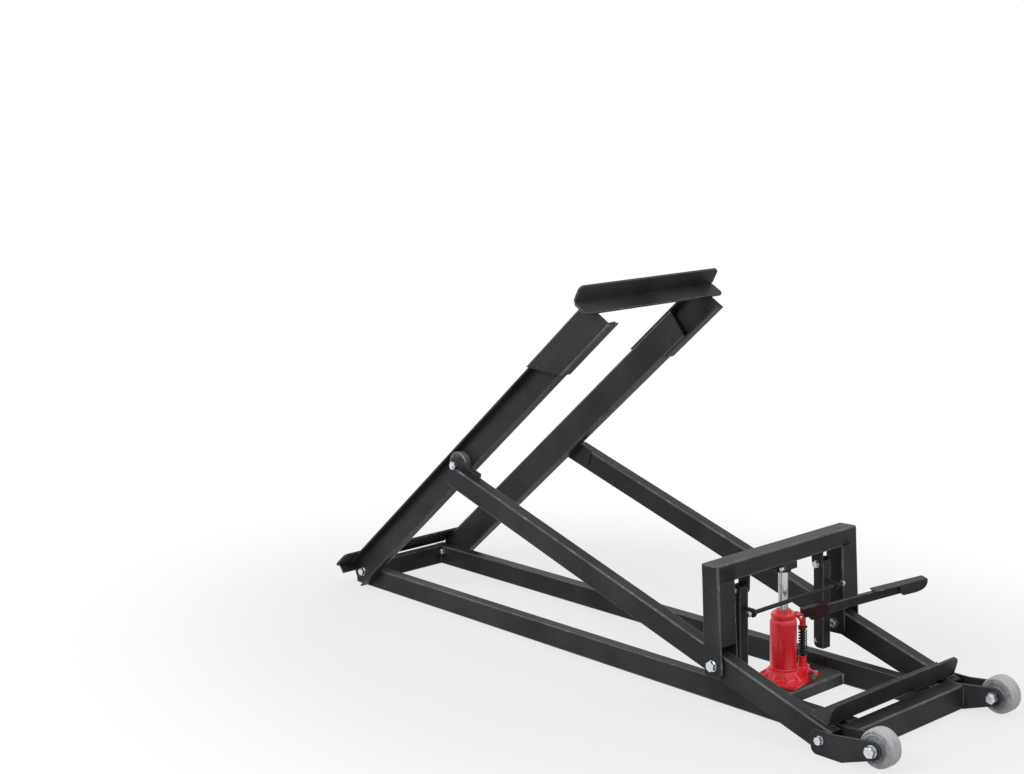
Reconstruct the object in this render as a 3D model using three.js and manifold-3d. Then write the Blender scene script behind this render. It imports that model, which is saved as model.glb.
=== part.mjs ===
// Lawn mower lift: a floor frame on two small wheels, two lifting arms, a portal frame pushed
// up by a bottle jack, and a tilting platform of two channel rails with a stop at each end.
// Lengths are in millimetres, +Z is up and +X points to the wheel end. The near side is -Y.
// The origin is on the floor, under the middle of the cross tube at the wheel end.

import * as THREE from "three";
import { mergeVertices } from "three/addons/utils/BufferGeometryUtils.js";
import Module from "manifold-3d";

const wasm = await Module();
wasm.setup();

// Shared clearances
const seatGap = 0.3;
const cutOverrun = 3;
const boltClearance = 0.4;

// Floor frame
const railTubeHeight = 50;
const railTubeWidth = 30;
const railTubeWall = 2.5;
const railLength = 1596;
const railInnerHalfGap = 115.5;
const wheelTubeWidth = 40;
const wheelTubeHalfLength = 167;
const hingeTubeWidth = 25;
const seatHeight = 25;
const seatDepth = 127;
const seatWall = 5;
const seatFrontFromOrigin = 238;

// Wheel forks
const forkPlateThickness = 5;
const forkPlateOuterFace = 219;
const forkEndInset = 52;
const forkCornerRadius = 14;
const forkNoseRadius = 18;
const wheelDiameter = 75;
const wheelWidth = 38;
const wheelHubRadius = 16;
const wheelRecessRadius = 25;
const wheelRecessDepth = 3.5;
const wheelRimInset = 1.5;
const wheelShoulderRadius = 5;
const wheelShoulderSpread = 8;
const wheelShoulderStep = 1.7;
const axleDistance = 90;
const axleHeight = 43;
const axleBoltDiameter = 16;
const axleHeadAcross = 24;

// Lifting arms
const armPivotBack = 29;
const armPivotHeight = 31;
const armRestDegrees = 17.3;
const armTubeHeight = 50;
const armTubeWidth = 30;
const armTubeWall = 2.5;
const armInnerHalfGap = 178;
const armLength = 1172;
const armPastPivot = 12;
const armPivotAboveCentre = 5;
const armHeelRadius = 20;
const armToeCutLength = 28;
const armToeCutHeight = 13;
const pivotBoltDiameter = 12;
const pivotHeadAcross = 17;

// Angle iron across the arms
const angleSide = 45;
const angleThickness = 5;
const angleHalfLength = 202;
const angleFromPivot = 8;
const angleCornerRadius = 18;

// Lugs and rollers at the upper end of the arms
const lugThickness = 4;
const lugHeight = 40;
const lugLength = 90;
const rollerPastArm = 11.6;
const rollerAlongArm = armLength - armPastPivot + rollerPastArm;
const rollerAboveArmLine = 6.7;
const rollerBoltDiameter = 12;
const rollerNutAcross = 19;
const rollerDiameter = 62;
const rollerWidth = 18;
const rollerBushDiameter = 20;
const rollerRimThickness = 8;
const rollerRecess = 3.6;
const rollerSideClearance = 0.9;

// Portal frame
const portalAlongArm = 281;
const portalLeanDegrees = 1.7;
const portalHeight = 206;
const legWidth = 50;
const legDepth = 45;
const legWall = 4;
const legInnerFace = 168;
const legBelowPivot = 24;
const legCornerRadius = 9;
const clevisHeight = 40;
const crossbarHeight = 38;
const crossbarVentDiameter = 10;
const portalBoltDiameter = 12;
const portalHeadAcross = 19;

// Cup that the ram pushes into
const socketOuterRadius = 17;
const socketWall = 3;
const socketDepth = 6;
const socketPadSide = 44;
const socketPadThickness = 14;

// Safety props
const propSide = 25;
const propWall = 2;
const propInnerFace = 118;
const propLength = 184.5;
const propHeelRadius = 12;
const propPivotBack = 2;
const propPivotHeight = 138.4;
const earThickness = 5;
const earWidth = 30;
const earRoundRadius = 13;
const propBoltDiameter = 8;
const propHeadAcross = 13;
const rodDiameter = 9;
const rodForward = 35;
const rodBelowPivot = 43;
const rodNearEnd = 148;
const rodFarEnd = 160;
const rodCollarDiameter = 16;
const rodTabThickness = 5;
const rodTabHeight = 18;
const footPinDiameter = 6;
const footPinHeight = 14;
const footPinLength = 44;

// Bottle jack
const jackCentreBack = 303;
const jackCentreAside = 2;
const jackYawDegrees = 27;
const jackBaseBack = 50;
const jackBaseFront = 57;
const jackBaseNear = 58;
const jackBaseFar = 62;
const jackBaseTurnDegrees = 37;
const jackBaseThickness = 8;
const jackBaseCornerCut = 14;
const jackBossRadius = 36;
const jackBossHeight = 24;
const jackBodyRadius = 28;
const jackBodyTop = 132;
const jackCollarTop = 151;
const jackCollarRadius = 25.5;
const jackCollarNeckRadius = 16.5;
const jackCollarNeckHeight = 6;
const ramDiameter = 20;
const ramInsideLength = 43.5;
const ramClearance = 0.4;
const ramTopClearance = 1;
const jackFloorThickness = 6;
const rimChamfer = 3;
const ramHeadChamfer = 1;

// Foot pump beside the jack
const pumpOffset = 43;
const pumpBossRadius = 15;
const pumpBossHeight = 26;
const pumpBarrelRadius = 9;
const pumpBarrelTop = 46;
const pumpBoreDepth = 16;
const plungerDiameter = 10;
const plungerCollarDiameter = 19.6;
const plungerCollarHeight = 4;
const plungerHeadGap = 0.6;
const plungerHeadDiameter = 13;
const plungerHeadHeight = 16;
const fulcrumOffset = 34;
const fulcrumHeight = 132;
const fulcrumPinDiameter = 6;
const tongueRadius = 5.5;
const tongueThickness = 16;
const cheekThickness = 4;
const cheekRadius = 7;
const leverPitchDegrees = 9;
const leverReach = 259.5;
const leverBarHeight = 20;
const leverBarThickness = 10;
const leverInSocket = 34;
const socketSleeveStart = 25.5;
const socketSleeveWall = 3.5;
const padLength = 121;
const padHeight = 24;
const padWidth = 26;
const padWall = 3;
const padPastLever = 31;
const padEndSlant = 34;
const springMeanRadius = 8.2;
const springWireDiameter = 2.6;
const springTurns = 9;
const springEndGap = 0.4;

// Release valve and filler plug
const valveDiameter = 13;
const valveLength = 18;
const valveAlongBase = 47;
const valveEnd = 49;
const valveHeight = 15;
const valveSlotWidth = 2.5;
const valveSlotDepth = 3;
const plugDiameter = 10;
const plugLength = 7;
const plugHeight = 15;

// Platform
const hingePinInset = 37;
const hingePinHeight = 37.5;
const platformRestDegrees = 38.8;
const channelHeight = 72;
const channelDepth = 25;
const channelThickness = 4;
const channelInnerFace = 147;
const channelLength = 1088;
const channelPastPin = 8;
const hingeBoltDiameter = 12;
const hingeHeadAcross = 19;
const extensionTopStart = 922;
const extensionBottomStart = 1009;
const extensionTopEnd = 1175;
const extensionBottomEnd = 1205;
const stopHalfLength = 212;
const stopSide = 45;
const stopThickness = 5;
const stopCornerRadius = 12;
const bottomStopPastPin = 10;
const bottomStopTopWidth = 60;
const bottomStopDrop = 28;
const bottomStopMiddleDrop = 8;

// Bolt proportions, as shares of the bolt's own sizes
const headHeightShare = 0.65;
const nutHeightShare = 0.85;
const washerRadiusShare = 1.25;
const washerThickness = 2;

// Facets
const roundSteps = 28;
const smallRoundSteps = 14;
const springStepsPerTurn = 8;
const springSides = 5;
const hexagonSides = 6;
const weldTolerance = 1e-4;

// Finishes
const blackPaint = new THREE.MeshStandardMaterial({ color: 0x2e3033, roughness: 0.5, metalness: 0.2, flatShading: true });
const redEnamel = new THREE.MeshStandardMaterial({ color: 0xd31d26, roughness: 0.35, metalness: 0.1, flatShading: true });
const chrome = new THREE.MeshStandardMaterial({ color: 0xdcdce0, roughness: 0.15, metalness: 1, flatShading: true });
const zinc = new THREE.MeshStandardMaterial({ color: 0xc6c9cc, roughness: 0.35, metalness: 0.9, flatShading: true });
const greyTread = new THREE.MeshStandardMaterial({ color: 0x8b8b88, roughness: 0.85, metalness: 0, flatShading: true });
const springSteel = new THREE.MeshStandardMaterial({ color: 0x1d1d1f, roughness: 0.45, metalness: 0.6, flatShading: true });

// Conversions between three.js geometries and solids
function toSolid(geometry) {
  const plain = geometry.clone();
  plain.deleteAttribute("normal");
  plain.deleteAttribute("uv");
  const merged = mergeVertices(plain, weldTolerance);
  return new wasm.Manifold(new wasm.Mesh({
    numProp: 3,
    vertProperties: new Float32Array(merged.attributes.position.array),
    triVerts: new Uint32Array(merged.index.array),
  }));
}

function toGeometry(solid) {
  const mesh = solid.getMesh();
  const geometry = new THREE.BufferGeometry();
  geometry.setAttribute("position", new THREE.BufferAttribute(new Float32Array(mesh.vertProperties), 3));
  geometry.setIndex(new THREE.BufferAttribute(new Uint32Array(mesh.triVerts), 1));
  geometry.computeVertexNormals();
  return geometry;
}

function join(...solids) {
  return solids.reduce((sum, next) => sum.add(next));
}

function cut(solid, ...tools) {
  return tools.reduce((rest, tool) => rest.subtract(tool), solid);
}

// Outlines
function polygon(points) {
  return new THREE.Shape(points.map(([u, v]) => new THREE.Vector2(u, v)));
}

function rectangle(u0, u1, v0, v1) {
  return polygon([[u0, v0], [u1, v0], [u1, v1], [u0, v1]]);
}

// A rectangle whose corners, listed as lower left, lower right, upper right and upper left,
// each have a radius of their own.
function roundedRectangle(u0, u1, v0, v1, [lowLeft, lowRight, highRight, highLeft]) {
  const shape = new THREE.Shape();
  const quarter = Math.PI / 2;
  shape.absarc(u0 + lowLeft, v0 + lowLeft, lowLeft, 2 * quarter, 3 * quarter);
  shape.absarc(u1 - lowRight, v0 + lowRight, lowRight, 3 * quarter, 4 * quarter);
  shape.absarc(u1 - highRight, v1 - highRight, highRight, 0, quarter);
  shape.absarc(u0 + highLeft, v1 - highLeft, highLeft, quarter, 2 * quarter);
  shape.closePath();
  return shape;
}

function channelOutline(u0, u1, v0, v1, wall) {
  return polygon([[u0, v0], [u1, v0], [u1, v0 + wall], [u0 + wall, v0 + wall],
    [u0 + wall, v1 - wall], [u1, v1 - wall], [u1, v1], [u0, v1]]);
}

// Prisms: an outline in X and Z drawn out along Y, in Y and Z along X, or in X and Y along Z
const curveSteps = 8;

function prismY(shape, y0, y1) {
  const geometry = new THREE.ExtrudeGeometry(shape, { depth: y1 - y0, bevelEnabled: false, curveSegments: curveSteps });
  geometry.rotateX(Math.PI / 2);
  geometry.translate(0, y1, 0);
  return toSolid(geometry);
}

function prismX(shape, x0, x1) {
  const geometry = new THREE.ExtrudeGeometry(shape, { depth: x1 - x0, bevelEnabled: false, curveSegments: curveSteps });
  const turn = new THREE.Matrix4().makeBasis(
    new THREE.Vector3(0, 1, 0), new THREE.Vector3(0, 0, 1), new THREE.Vector3(1, 0, 0));
  geometry.applyMatrix4(turn);
  geometry.translate(x0, 0, 0);
  return toSolid(geometry);
}

function prismZ(shape, z0, z1) {
  const geometry = new THREE.ExtrudeGeometry(shape, { depth: z1 - z0, bevelEnabled: false, curveSegments: curveSteps });
  geometry.translate(0, 0, z0);
  return toSolid(geometry);
}

function block(x0, x1, y0, y1, z0, z1) {
  const geometry = new THREE.BoxGeometry(x1 - x0, y1 - y0, z1 - z0);
  geometry.translate((x0 + x1) / 2, (y0 + y1) / 2, (z0 + z1) / 2);
  return toSolid(geometry);
}

// Round pieces along Y, X and Z
function roundY(radius, y0, y1, x, z, steps = roundSteps) {
  const geometry = new THREE.CylinderGeometry(radius, radius, y1 - y0, steps);
  geometry.translate(x, (y0 + y1) / 2, z);
  return toSolid(geometry);
}

function roundX(radius, x0, x1, y, z, steps = roundSteps) {
  const geometry = new THREE.CylinderGeometry(radius, radius, x1 - x0, steps);
  geometry.rotateZ(-Math.PI / 2);
  geometry.translate((x0 + x1) / 2, y, z);
  return toSolid(geometry);
}

function roundZ(radius, z0, z1, x, y, steps = roundSteps) {
  const geometry = new THREE.CylinderGeometry(radius, radius, z1 - z0, steps);
  geometry.rotateX(Math.PI / 2);
  geometry.translate(x, y, (z0 + z1) / 2);
  return toSolid(geometry);
}

// A solid of revolution about Z from points given as radius and height
function turnedZ(profile, x, y, steps = roundSteps) {
  const geometry = new THREE.LatheGeometry(profile.map(([r, h]) => new THREE.Vector2(r, h)), steps);
  geometry.rotateX(Math.PI / 2);
  geometry.translate(x, y, 0);
  return toSolid(geometry);
}

// A solid of revolution about Y from points given as radius and distance along Y
function turnedY(profile, x, z, steps = roundSteps) {
  const geometry = new THREE.LatheGeometry(profile.map(([r, h]) => new THREE.Vector2(r, h)), steps);
  geometry.translate(x, 0, z);
  return toSolid(geometry);
}

// A hexagon bolt along Y with a washer under its head and a nut on its other end.
// headFace is where the washer sits and nutFace where the nut sits.
function hexBoltY({ diameter, across, headFace, nutFace, x, z }) {
  const away = Math.sign(headFace - nutFace);
  const cornerRadius = across / Math.sqrt(3);
  const headHeight = diameter * headHeightShare;
  const nutHeight = diameter * nutHeightShare;
  const span = (a, b) => [Math.min(a, b), Math.max(a, b)];
  const washerStart = headFace + away * seatGap;
  const headStart = washerStart + away * washerThickness;
  const headEnd = headStart + away * headHeight;
  const nutStart = nutFace - away * seatGap;
  const nutEnd = nutStart - away * nutHeight;
  return join(
    roundY(diameter / 2, ...span(nutEnd - away * washerThickness, headEnd - away * washerThickness), x, z, smallRoundSteps),
    roundY(cornerRadius * washerRadiusShare, ...span(washerStart, headStart), x, z, smallRoundSteps),
    roundY(cornerRadius, ...span(headStart, headEnd), x, z, hexagonSides),
    roundY(cornerRadius, ...span(nutStart, nutEnd), x, z, hexagonSides),
  );
}

function boltHoleY(diameter, y0, y1, x, z) {
  return roundY(diameter / 2 + boltClearance, y0 - cutOverrun, y1 + cutOverrun, x, z, smallRoundSteps);
}

// Builds the same piece on the near side and the far side. The piece is described on the
// far side, from inner face y0 to outer face y1, and the near one is its mirror image.
const sides = [["near", -1], ["far", 1]];

function across(side, y0, y1) {
  return side < 0 ? [-y1, -y0] : [y0, y1];
}

const lift = new THREE.Group();

function place(parent, name, solid, material) {
  const mesh = new THREE.Mesh(toGeometry(solid), material);
  mesh.name = name;
  parent.add(mesh);
}

const radians = Math.PI / 180;
const railOuterFace = railInnerHalfGap + railTubeWidth;
const railWheelEnd = -wheelTubeWidth / 2 - seatGap;
const railHingeEnd = railWheelEnd - railLength;
const hingeX = railHingeEnd + hingePinInset;

// Floor frame

function baseRail(side) {
  const [y0, y1] = across(side, railInnerHalfGap, railOuterFace);
  const outside = rectangle(y0, y1, 0, railTubeHeight);
  const inside = rectangle(y0 + railTubeWall, y1 - railTubeWall, railTubeWall, railTubeHeight - railTubeWall);
  return cut(
    prismX(outside, railHingeEnd, railWheelEnd),
    prismX(inside, railHingeEnd - cutOverrun, railWheelEnd + cutOverrun),
    boltHoleY(hingeBoltDiameter, y0, y1, hingeX, hingePinHeight),
  );
}

function crossTube(x0, x1, y0, y1) {
  const outside = rectangle(x0, x1, 0, railTubeHeight);
  const inside = rectangle(x0 + railTubeWall, x1 - railTubeWall, railTubeWall, railTubeHeight - railTubeWall);
  return cut(prismY(outside, y0, y1), prismY(inside, y0 - cutOverrun, y1 + cutOverrun));
}

function jackSeat() {
  const front = -seatFrontFromOrigin;
  const back = front - seatDepth;
  const halfLength = railInnerHalfGap - seatGap;
  const fold = polygon([[back, 0], [back + seatWall, 0], [back + seatWall, seatHeight - seatWall],
    [front - seatWall, seatHeight - seatWall], [front - seatWall, 0], [front, 0],
    [front, seatHeight], [back, seatHeight]]);
  return prismY(fold, -halfLength, halfLength);
}

// Where a line from a point touches a circle, on the side given by the sign of turn
function tangentPoint([px, pz], [cx, cz], radius, turn) {
  const distance = Math.hypot(cx - px, cz - pz);
  const reach = Math.sqrt(distance ** 2 - radius ** 2);
  const angle = Math.atan2(cz - pz, cx - px) + turn * Math.asin(radius / distance);
  return [px + reach * Math.cos(angle), pz + reach * Math.sin(angle)];
}

function forkPlate(y0, y1) {
  const axle = [axleDistance, axleHeight];
  const lowCorner = [wheelTubeWidth / 2, 0];
  const highCorner = [0, railTubeHeight];
  const low = tangentPoint(lowCorner, axle, forkNoseRadius, -1);
  const high = tangentPoint(highCorner, axle, forkNoseRadius, 1);
  const angleOf = ([x, z]) => Math.atan2(z - axleHeight, x - axleDistance);
  const shape = new THREE.Shape();
  const left = -forkEndInset + forkCornerRadius;
  shape.moveTo(...lowCorner);
  shape.lineTo(...low);
  shape.absarc(...axle, forkNoseRadius, angleOf(low), angleOf(high));
  shape.lineTo(...highCorner);
  shape.absarc(left, railTubeHeight - forkCornerRadius, forkCornerRadius, Math.PI / 2, Math.PI);
  shape.absarc(left, forkCornerRadius, forkCornerRadius, Math.PI, 3 * Math.PI / 2);
  shape.closePath();
  return cut(
    prismY(shape, y0, y1),
    boltHoleY(axleBoltDiameter, y0, y1, axleDistance, axleHeight),
    boltHoleY(pivotBoltDiameter, y0, y1, -armPivotBack, armPivotHeight),
  );
}

const innerPlateInnerFace = wheelTubeHalfLength + seatGap;
const innerPlateOuterFace = innerPlateInnerFace + forkPlateThickness;
const outerPlateInnerFace = forkPlateOuterFace - forkPlateThickness;
const wheelCentreAside = (innerPlateOuterFace + outerPlateInnerFace) / 2;

place(lift, "wheel_cross_tube", crossTube(-wheelTubeWidth / 2, wheelTubeWidth / 2,
  -wheelTubeHalfLength, wheelTubeHalfLength), blackPaint);
place(lift, "hinge_cross_tube", crossTube(railHingeEnd, railHingeEnd + hingeTubeWidth,
  -railInnerHalfGap + seatGap, railInnerHalfGap - seatGap), blackPaint);
place(lift, "jack_seat", jackSeat(), blackPaint);

// A small solid wheel: hub, recessed disc and crowned tread
function wheel(side) {
  const half = wheelWidth / 2;
  const rim = half - wheelRimInset;
  const radius = wheelDiameter / 2;
  const bore = axleBoltDiameter / 2 + boltClearance;
  const shoulder = radius - wheelShoulderRadius;
  const halfProfile = [
    [bore, half],
    [wheelHubRadius, half],
    [wheelHubRadius, half - wheelRecessDepth],
    [wheelRecessRadius, half - wheelRecessDepth],
    [wheelRecessRadius, rim],
    [shoulder, rim],
    [radius - wheelShoulderStep, rim - wheelShoulderRadius / 2],
    [radius, rim - wheelShoulderSpread],
  ];
  const mirrored = halfProfile.map(([r, h]) => [r, -h]).reverse();
  const profile = [...halfProfile, ...mirrored, halfProfile[0]].reverse();
  const moved = profile.map(([r, h]) => [r, h + side * wheelCentreAside]);
  return turnedY(moved, axleDistance, axleHeight, roundSteps);
}

for (const [word, side] of sides) {
  place(lift, `base_rail_${word}`, baseRail(side), blackPaint);
  place(lift, `fork_plate_inner_${word}`, forkPlate(...across(side, innerPlateInnerFace, innerPlateOuterFace)), blackPaint);
  place(lift, `fork_plate_outer_${word}`, forkPlate(...across(side, outerPlateInnerFace, forkPlateOuterFace)), blackPaint);
  place(lift, `wheel_${word}`, wheel(side), greyTread);
  place(lift, `axle_bolt_${word}`, hexBoltY({
    diameter: axleBoltDiameter,
    across: axleHeadAcross,
    headFace: side * forkPlateOuterFace,
    nutFace: side * innerPlateInnerFace,
    x: axleDistance,
    z: axleHeight,
  }), zinc);
  place(lift, `arm_pivot_bolt_${word}`, hexBoltY({
    diameter: pivotBoltDiameter,
    across: pivotHeadAcross,
    headFace: side * forkPlateOuterFace,
    nutFace: side * innerPlateInnerFace,
    x: -armPivotBack,
    z: armPivotHeight,
  }), zinc);
  place(lift, `platform_hinge_bolt_${word}`, hexBoltY({
    diameter: hingeBoltDiameter,
    across: hingeHeadAcross,
    headFace: side * (channelInnerFace + channelThickness),
    nutFace: side * railInnerHalfGap,
    x: hingeX,
    z: hingePinHeight,
  }), zinc);
}

// Lifting arms. In their own frame the pivot is the origin, the arm runs towards -X and +Z is
// square to it, and the whole group is turned about Y to the rest angle.
const arms = new THREE.Group();
arms.position.set(-armPivotBack, 0, armPivotHeight);
arms.rotation.y = armRestDegrees * radians;
lift.add(arms);

const armBottom = -armPivotAboveCentre - armTubeHeight / 2;
const armTop = armBottom + armTubeHeight;
const armOuterFace = armInnerHalfGap + armTubeWidth;
const armUpperEnd = armPastPivot - armLength;

function arm(side) {
  const [y0, y1] = across(side, armInnerHalfGap, armOuterFace);
  const outside = new THREE.Shape();
  outside.moveTo(armPastPivot, armTop);
  outside.lineTo(armUpperEnd + armToeCutLength, armTop);
  outside.lineTo(armUpperEnd, armTop - armToeCutHeight);
  outside.lineTo(armUpperEnd, armBottom);
  outside.absarc(armPastPivot - armHeelRadius, armBottom + armHeelRadius, armHeelRadius, 3 * Math.PI / 2, 2 * Math.PI);
  outside.closePath();
  const bore = block(armUpperEnd - cutOverrun, armPastPivot + cutOverrun,
    y0 + armTubeWall, y1 - armTubeWall, armBottom + armTubeWall, armTop - armTubeWall);
  return cut(
    prismY(outside, y0, y1),
    bore,
    boltHoleY(pivotBoltDiameter, y0, y1, 0, 0),
    boltHoleY(portalBoltDiameter, y0, y1, -portalAlongArm, -armPivotAboveCentre),
  );
}

// Angle iron: one flange lies on the arms and the other stands up at its lower edge
function crossAngle() {
  const bottom = armTop + seatGap;
  const front = -angleFromPivot + angleThickness;
  const back = front - angleSide;
  const upright = roundedRectangle(-angleHalfLength, angleHalfLength, bottom, bottom + angleSide,
    [0, 0, angleCornerRadius, angleCornerRadius]);
  return join(
    prismX(upright, front - angleThickness, front),
    block(back, front, -angleHalfLength, angleHalfLength, bottom, bottom + angleThickness),
  );
}

// Lug plate welded to the inner side of an arm, reaching past its end to the roller bolt
const lugOuterFace = armInnerHalfGap - seatGap;
const lugInnerFace = lugOuterFace - lugThickness;

function armLug(side) {
  const [y0, y1] = across(side, lugInnerFace, lugOuterFace);
  const noseRadius = lugHeight / 2;
  const shape = new THREE.Shape();
  shape.moveTo(-rollerAlongArm + lugLength, rollerAboveArmLine - noseRadius);
  shape.lineTo(-rollerAlongArm + lugLength, rollerAboveArmLine + noseRadius);
  shape.absarc(-rollerAlongArm, rollerAboveArmLine, noseRadius, Math.PI / 2, 3 * Math.PI / 2);
  shape.closePath();
  return cut(
    prismY(shape, y0, y1),
    boltHoleY(rollerBoltDiameter, y0, y1, -rollerAlongArm, rollerAboveArmLine),
  );
}

function rollerBolt(side) {
  const nutRadius = rollerNutAcross / Math.sqrt(3);
  const nutStart = lugOuterFace + seatGap;
  const nutEnd = nutStart + rollerBoltDiameter * nutHeightShare;
  const centre = [-rollerAlongArm, rollerAboveArmLine];
  return join(
    roundY(rollerBoltDiameter / 2, ...across(side, lugInnerFace, nutEnd + washerThickness), ...centre, smallRoundSteps),
    roundY(nutRadius, ...across(side, nutStart, nutEnd), ...centre, hexagonSides),
  );
}

for (const [word, side] of sides) {
  place(arms, `arm_${word}`, arm(side), blackPaint);
  place(arms, `arm_lug_${word}`, armLug(side), blackPaint);
  place(arms, `roller_bolt_${word}`, rollerBolt(side), zinc);
}
place(arms, "cross_angle", crossAngle(), blackPaint);

// Portal frame. Its own frame has the portal pivot as origin and +Z up its legs.
const portal = new THREE.Group();
portal.position.set(-portalAlongArm, 0, -armPivotAboveCentre);
portal.rotation.y = -(armRestDegrees + portalLeanDegrees) * radians;
arms.add(portal);

const crossbarBottom = portalHeight - crossbarHeight;
const legOuterFace = legInnerFace + legWidth;
const halfLegDepth = legDepth / 2;

function portalLeg(side) {
  const [y0, y1] = across(side, legInnerFace, legOuterFace);
  const top = crossbarBottom - seatGap;
  const outside = roundedRectangle(-halfLegDepth, halfLegDepth, -legBelowPivot, top,
    [legCornerRadius, legCornerRadius, 0, 0]);
  const bore = block(-halfLegDepth + legWall, halfLegDepth - legWall, y0 + legWall, y1 - legWall,
    -legBelowPivot - cutOverrun, top + cutOverrun);
  const clevis = block(-halfLegDepth - cutOverrun, halfLegDepth + cutOverrun, y0 + legWall, y1 - legWall,
    -legBelowPivot - cutOverrun, clevisHeight);
  return cut(prismY(outside, y0, y1), bore, clevis, boltHoleY(portalBoltDiameter, y0, y1, 0, 0));
}

function portalCrossbar() {
  const inside = block(-halfLegDepth + legWall, halfLegDepth - legWall,
    -legOuterFace + legWall, legOuterFace - legWall, crossbarBottom + legWall, portalHeight - legWall);
  const legCentre = legInnerFace + legWidth / 2;
  const vents = sides.map(([, side]) => roundZ(crossbarVentDiameter / 2, crossbarBottom - cutOverrun,
    crossbarBottom + legWall + cutOverrun, 0, side * legCentre, smallRoundSteps));
  const bar = block(-halfLegDepth, halfLegDepth, -legOuterFace, legOuterFace, crossbarBottom, portalHeight);
  return cut(bar, inside, ...vents);
}

// Cup on a square pad under the crossbar, open downwards to take the head of the ram
const padTop = crossbarBottom - seatGap;
const padBottom = padTop - socketPadThickness;

const cupRim = padBottom - socketDepth;

function ramSocket() {
  const half = socketPadSide / 2;
  const pad = block(-half, half, jackCentreAside - half, jackCentreAside + half, padBottom, padTop);
  const cup = roundZ(socketOuterRadius, cupRim, padTop, 0, jackCentreAside);
  const hollow = roundZ(socketOuterRadius - socketWall, cupRim - cutOverrun, padBottom, 0, jackCentreAside);
  return cut(join(pad, cup), hollow);
}

const earOuterFace = propInnerFace - seatGap;
const earInnerFace = earOuterFace - earThickness;
const propOuterFace = propInnerFace + propSide;

function propEar(side) {
  const [y0, y1] = across(side, earInnerFace, earOuterFace);
  const shape = new THREE.Shape();
  const top = crossbarBottom - seatGap;
  const centre = -propPivotBack;
  shape.moveTo(centre + earWidth / 2, top);
  shape.lineTo(centre - earWidth / 2, top);
  shape.absarc(centre, propPivotHeight, earRoundRadius, Math.PI, 2 * Math.PI);
  shape.closePath();
  return cut(prismY(shape, y0, y1), boltHoleY(propBoltDiameter, y0, y1, centre, propPivotHeight));
}

for (const [word, side] of sides) {
  place(portal, `portal_leg_${word}`, portalLeg(side), blackPaint);
  place(portal, `portal_bolt_${word}`, hexBoltY({
    diameter: portalBoltDiameter,
    across: portalHeadAcross,
    headFace: side * legOuterFace,
    nutFace: side * legInnerFace,
    x: 0,
    z: 0,
  }), zinc);
  place(portal, `prop_ear_${word}`, propEar(side), blackPaint);
  place(portal, `prop_bolt_${word}`, hexBoltY({
    diameter: propBoltDiameter,
    across: propHeadAcross,
    headFace: side * earInnerFace,
    nutFace: side * propOuterFace,
    x: -propPivotBack,
    z: propPivotHeight,
  }), zinc);
}
place(portal, "portal_crossbar", portalCrossbar(), blackPaint);
place(portal, "ram_socket", ramSocket(), blackPaint);

// Safety props, hung from the ears. Their own frame has the prop pivot as origin, and they
// hang plumb at rest.
const props = new THREE.Group();
props.position.set(-propPivotBack, 0, propPivotHeight);
props.rotation.y = portalLeanDegrees * radians;
portal.add(props);

function prop(side) {
  const [y0, y1] = across(side, propInnerFace, propOuterFace);
  const half = propSide / 2;
  const outside = roundedRectangle(-half, half, -propLength, half, [propHeelRadius, 0, half, half]);
  const bore = block(-half + propWall, half - propWall, y0 + propWall, y1 - propWall,
    -propLength - cutOverrun, half - propWall);
  const middle = (y0 + y1) / 2;
  const tabShape = new THREE.Shape();
  const tabRadius = rodTabHeight / 2;
  tabShape.moveTo(half - propWall, -rodBelowPivot - tabRadius);
  tabShape.absarc(rodForward, -rodBelowPivot, tabRadius, -Math.PI / 2, Math.PI / 2);
  tabShape.lineTo(half - propWall, -rodBelowPivot + tabRadius);
  tabShape.closePath();
  const tab = prismY(tabShape, middle - rodTabThickness / 2, middle + rodTabThickness / 2);
  return cut(
    join(cut(prismY(outside, y0, y1), bore), tab),
    boltHoleY(propBoltDiameter, y0, y1, 0, 0),
    boltHoleY(rodDiameter, y0, y1, rodForward, -rodBelowPivot),
    boltHoleY(footPinDiameter, y0, y1, 0, -propLength + footPinHeight),
  );
}

function releaseRod() {
  const collarLength = rodDiameter * nutHeightShare;
  const along = [rodForward, -rodBelowPivot];
  return join(
    roundY(rodDiameter / 2, -rodNearEnd, rodFarEnd, ...along, smallRoundSteps),
    roundY(rodCollarDiameter / 2, -rodNearEnd + washerThickness, -rodNearEnd + washerThickness + collarLength, ...along, hexagonSides),
    roundY(rodCollarDiameter / 2, rodFarEnd - washerThickness - collarLength, rodFarEnd - washerThickness, ...along, hexagonSides),
  );
}

for (const [word, side] of sides) {
  place(props, `prop_${word}`, prop(side), blackPaint);
}
place(props, "release_rod", releaseRod(), blackPaint);
const footPinMiddle = (propInnerFace + propOuterFace) / 2;
place(props, "foot_pin", roundY(footPinDiameter / 2, footPinMiddle - footPinLength / 2,
  footPinMiddle + footPinLength / 2, 0, -propLength + footPinHeight, smallRoundSteps), zinc);

// Bottle jack. Its own frame stands on the seat with the ram as its Z axis, and +Y runs
// towards the pump.
const jack = new THREE.Group();
jack.position.set(-jackCentreBack, jackCentreAside, seatHeight + seatGap);
jack.rotation.z = -jackYawDegrees * radians;
lift.add(jack);

const valveStart = valveEnd - valveLength;

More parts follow.
